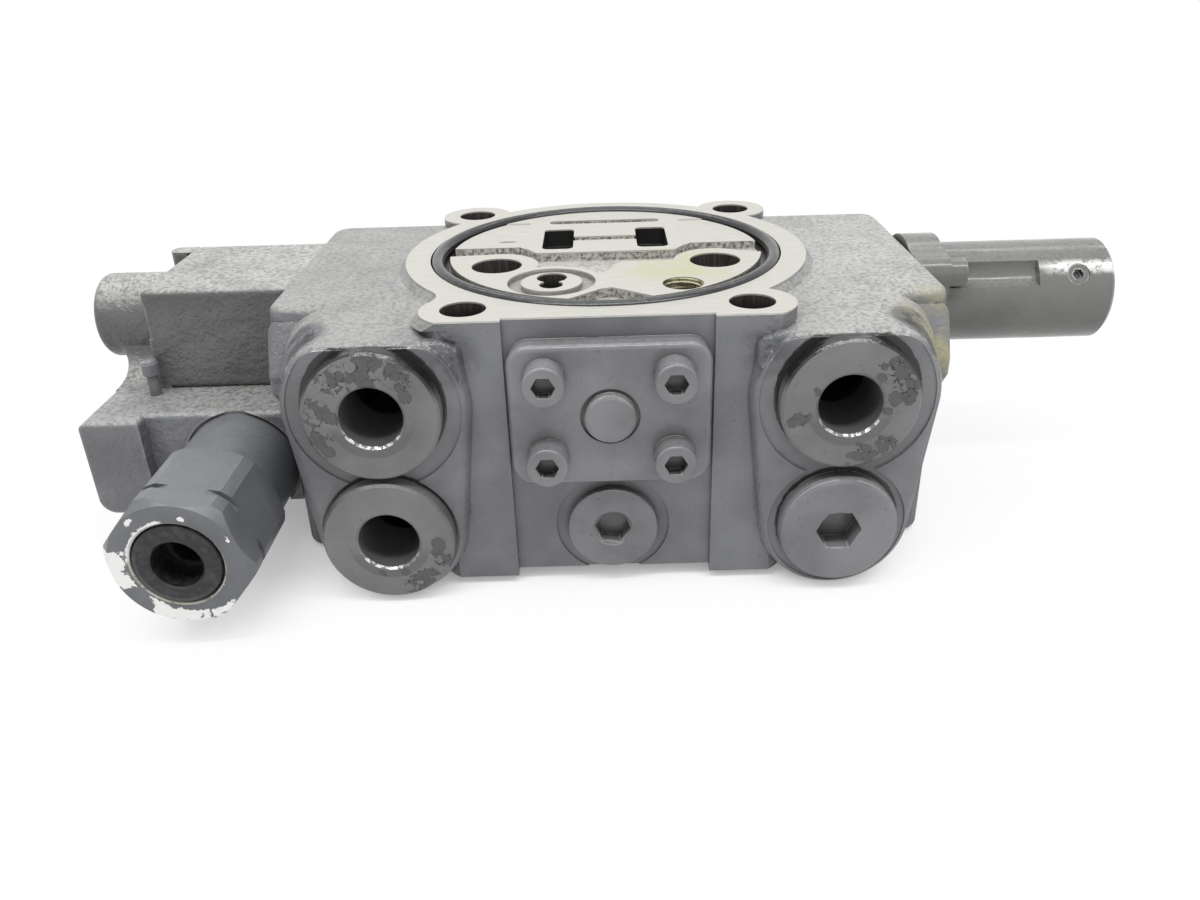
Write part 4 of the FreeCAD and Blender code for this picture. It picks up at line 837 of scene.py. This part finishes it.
def relief_finish():
    material, tree = new_material("relief_paint")
    where = place_of(tree)
    x, y, z = split_up(tree, where)
    out = from_axis(tree, x, z, relief_across, relief_height)
    front = fade(tree, y, relief_front + 0.9 * mm, relief_front + 0.4 * mm)
    rim = fade(tree, y, relief_front + 4.4 * mm, relief_front + 3.0 * mm)
    ragged_x, _, ragged_z = split_up(tree, torn(tree, where, 2.4 * mm))
    edge = from_axis(tree, ragged_x, ragged_z, relief_across, relief_height)
    aside = difference(tree, ragged_x, relief_across)
    rise = difference(tree, ragged_z, relief_height)

    # the large chips: one along the foot of the face, split in two, and one on its left
    inner = calc(tree, "MULTIPLY_ADD", aside, foot_slant, foot_inner)
    foot = overlap(
        tree,
        fade(tree, difference(tree, edge, inner), 0.0, soft_edge),
        fade(tree, rise, foot_top + 0.4 * mm, foot_top),
        fade(tree, aside, foot_left - 0.4 * mm, foot_left),
        fade(tree, aside, foot_right + 0.4 * mm, foot_right),
        fade(tree, apart(tree, aside, foot_split), 0.3 * mm, 0.6 * mm),
    )
    left = overlap(
        tree,
        fade(tree, edge, left_inner - 0.3 * mm, left_inner),
        fade(tree, aside, left_edge + 0.4 * mm, left_edge),
        fade(tree, rise, left_top + 0.4 * mm, left_top),
        fade(tree, rise, left_bottom - 0.4 * mm, left_bottom),
    )
    flake = torn(tree, where, 1.6 * mm)
    chipped = either(tree, foot, left)
    for across, up_by, reach in small_chips:
        centre = (relief_across + across * mm, relief_front, relief_height + up_by * mm)
        spot = near(tree, flake, centre, reach * 0.7 * mm, reach * 0.9 * mm)
        chipped = either(tree, chipped, spot)
    chipped = overlap(tree, chipped, patches(tree, where, 260.0, 4.0, 0.60, 0.62, 1.0, 0.0), rim)

    # a cream edge round the mouth, and its upper left lip worn bright
    mouth = overlap(
        tree,
        fade(tree, out, mouth_wall + mouth_edge_width + soft_edge, mouth_wall + mouth_edge_width),
        front,
        patches(tree, where, 200.0, 3.0, 0.40, 0.50, 0.25, 1.0),
    )
    worn_lip = overlap(
        tree,
        fade(tree, edge, mouth_wall + worn_lip_width + 0.4 * mm, mouth_wall + worn_lip_width),
        front,
        fade(tree, aside, -1 * mm, -3 * mm),
        fade(tree, rise, 0.0, 3 * mm),
    )
    bare = either(tree, chipped, worn_lip)
    colour = paint_colour(tree, where, relief_paint, relief_dust)
    colour = tint(tree, mouth, colour, cream_edge)
    colour = tint(tree, bare, colour, chipped_metal)
    shine = weigh(tree, bare, patches(tree, where, 75.0, 4.0, 0.3, 0.7, 0.32, 0.44), 0.34)
    normal = bumps(
        tree,
        (fade(tree, bare, 0.0, 1.0, 1.0, 0.0), 0.14 * mm),
        (grain(tree, stretched(tree, where, (20.0, 1500.0, 20.0)), 1.0, 2.0), 0.02 * mm),
        (grain(tree, where, 600.0, 2.0), 0.03 * mm),
    )
    return coat(material, tree, colour, shine, normal, weigh(tree, bare, 0.0, 0.35))


def black_finish():
    """Turned steel with black oxide."""
    material, tree = new_material("black_oxide")
    where = place_of(tree)
    colour = tint(tree, patches(tree, where, 350.0, 4.0, 0.4, 0.7), black_oxide, dull_black)
    shine = patches(tree, where, 140.0, 3.0, 0.3, 0.7, 0.22, 0.36)
    turned = grain(tree, stretched(tree, where, (30.0, 2200.0, 30.0)), 1.0, 2.0)
    return coat(material, tree, colour, shine, bumps(tree, (turned, 0.015 * mm)), 0.3)


wear(relief_finish(), "relief_body")
wear(black_finish(), "relief_sleeve", "spool_bolt")

# The spring cap is a turned steel cup with a flange, painted a darker satin grey than the casting.
# Two screws on a diagonal hold its flange. A strip near the closed end is lightened, partly as paint
# rubbed bright and partly as a painted highlight.
cap_axis = (15.0 * mm, -29.3 * mm)
strip_direction = math.radians(43.0)
strip_half_width = (4.6 * mm, 1.6 * mm)
strip_from, strip_full = 192 * mm, 212 * mm
cap_paint = (0.135, 0.135, 0.130, 1)
cap_dust = (0.22, 0.22, 0.212, 1)
rubbed_and_highlight = (0.72, 0.72, 0.70, 1)


def cap_finish():
    material, tree = new_material("cap_paint")
    where = place_of(tree)
    x, y, z = split_up(tree, where)
    across = difference(tree, y, cap_axis[0])
    rise = difference(tree, z, cap_axis[1])
    off = calc(tree, "ADD", overlap(tree, across, math.sin(strip_direction)),
               overlap(tree, rise, math.cos(strip_direction)))
    # the strip: partly rubbed paint, partly a painted highlight
    rub_and_highlight_strip = overlap(
        tree,
        fade(tree, calc(tree, "ABSOLUTE", off), *strip_half_width),
        fade(tree, across, 0.0, -6 * mm),
        fade(tree, x, strip_from, strip_full),
        patches(tree, where, 210.0, 5.0, 0.42, 0.54, roughness=0.68),
    )
    colour = tint(tree, rub_and_highlight_strip, paint_colour(tree, where, cap_paint, cap_dust, 0.75), rubbed_and_highlight)
    shine = weigh(tree, rub_and_highlight_strip, patches(tree, where, 75.0, 4.0, 0.3, 0.7, 0.16, 0.28), 0.16)
    normal = bumps(
        tree,
        (grain(tree, where, 620.0, 2.0), 0.04 * mm),
        (grain(tree, where, 80.0, 2.0), 0.2 * mm),
    )
    return coat(material, tree, colour, shine, normal)


wear(cap_finish(), "spring_cap")
wear(smooth_paint_finish("cap_screw_paint", cap_paint, cap_dust), "cap_screws", "cap_set_screw")

# The spool, its pilot piston, the spring seats and the two poppets are ground steel, wet with oil.
# They show only through the windows of the flange face and the open bores.
ground_steel = (0.50, 0.50, 0.49, 1)
oil_film = (0.30, 0.28, 0.22, 1)


def ground_finish(name, grind_lines):
    """Bright steel with fine grinding lines square to the axis along which grind_lines is largest."""
    material, tree = new_material(name)
    where = place_of(tree)
    lines = grain(tree, stretched(tree, where, grind_lines), 1.0, 2.0)
    colour = tint(tree, patches(tree, where, 60.0, 4.0, 0.4, 0.7, 0.0, 0.7), ground_steel, oil_film)
    shine = fade(tree, lines, 0.3, 0.7, 0.14, 0.26)
    return coat(material, tree, colour, shine, bumps(tree, (lines, 0.008 * mm)), 1.0)


wear(ground_finish("ground_steel_x", (2400.0, 40.0, 40.0)),
     "main_spool", "pilot_piston", "inner_spring_seat", "outer_spring_seat")
wear(ground_finish("ground_steel_y", (40.0, 2400.0, 40.0)),
     "load_check_poppet", "relief_poppet", "pilot_thread")

# The three springs are wound from round oil-tempered wire, dark and lightly oiled. They close the spool,
# the load check and the relief poppet, which press them shorter as they move; the coils here keep their
# length.
# Each stands for a solid: its joint, its direction (0 for x, 1 for y), its fixed end and its travel.
springs = {
    "return_spring": ("spool_slide", 0, 217.45 * mm, 10 * mm),
    "load_check_spring": ("load_check_lift", 1, -88.6 * mm, 8 * mm),
    "relief_spring": ("relief_lift", 1, -104.0 * mm, 4 * mm),
}
spring_wire = (0.17, 0.165, 0.16, 1)


def wire_finish():
    material, tree = new_material("oil_tempered_wire")
    where = place_of(tree)
    colour = tint(tree, patches(tree, where, 420.0, 4.0, 0.4, 0.7), spring_wire, dull_black)
    shine = patches(tree, where, 300.0, 2.0, 0.3, 0.7, 0.28, 0.42)
    normal = bumps(tree, (grain(tree, where, 1500.0, 2.0), 0.02 * mm))
    return coat(material, tree, colour, shine, normal, 0.8)


def live_spring(solid, joint, along, fixed_end, travel):
    """Coil in the place of a spring's solid, on the valve's body, with the solid hidden. It keeps its
    length.
    """
    coil = link_object(solid + "_coil", cad_nodes[solid].data.copy())
    low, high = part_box(solid)
    anchor = [(first + second) / 2 for first, second in zip(low, high)]
    anchor[along] = fixed_end
    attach(coil, "valve")
    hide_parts(solid)
    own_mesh(coil)
    return coil


wire_material = wire_finish()
for spring_name, spring_facts in springs.items():
    wear(wire_material, live_spring(spring_name, *spring_facts).name)

bpy.context.scene.view_settings.view_transform = "Standard"
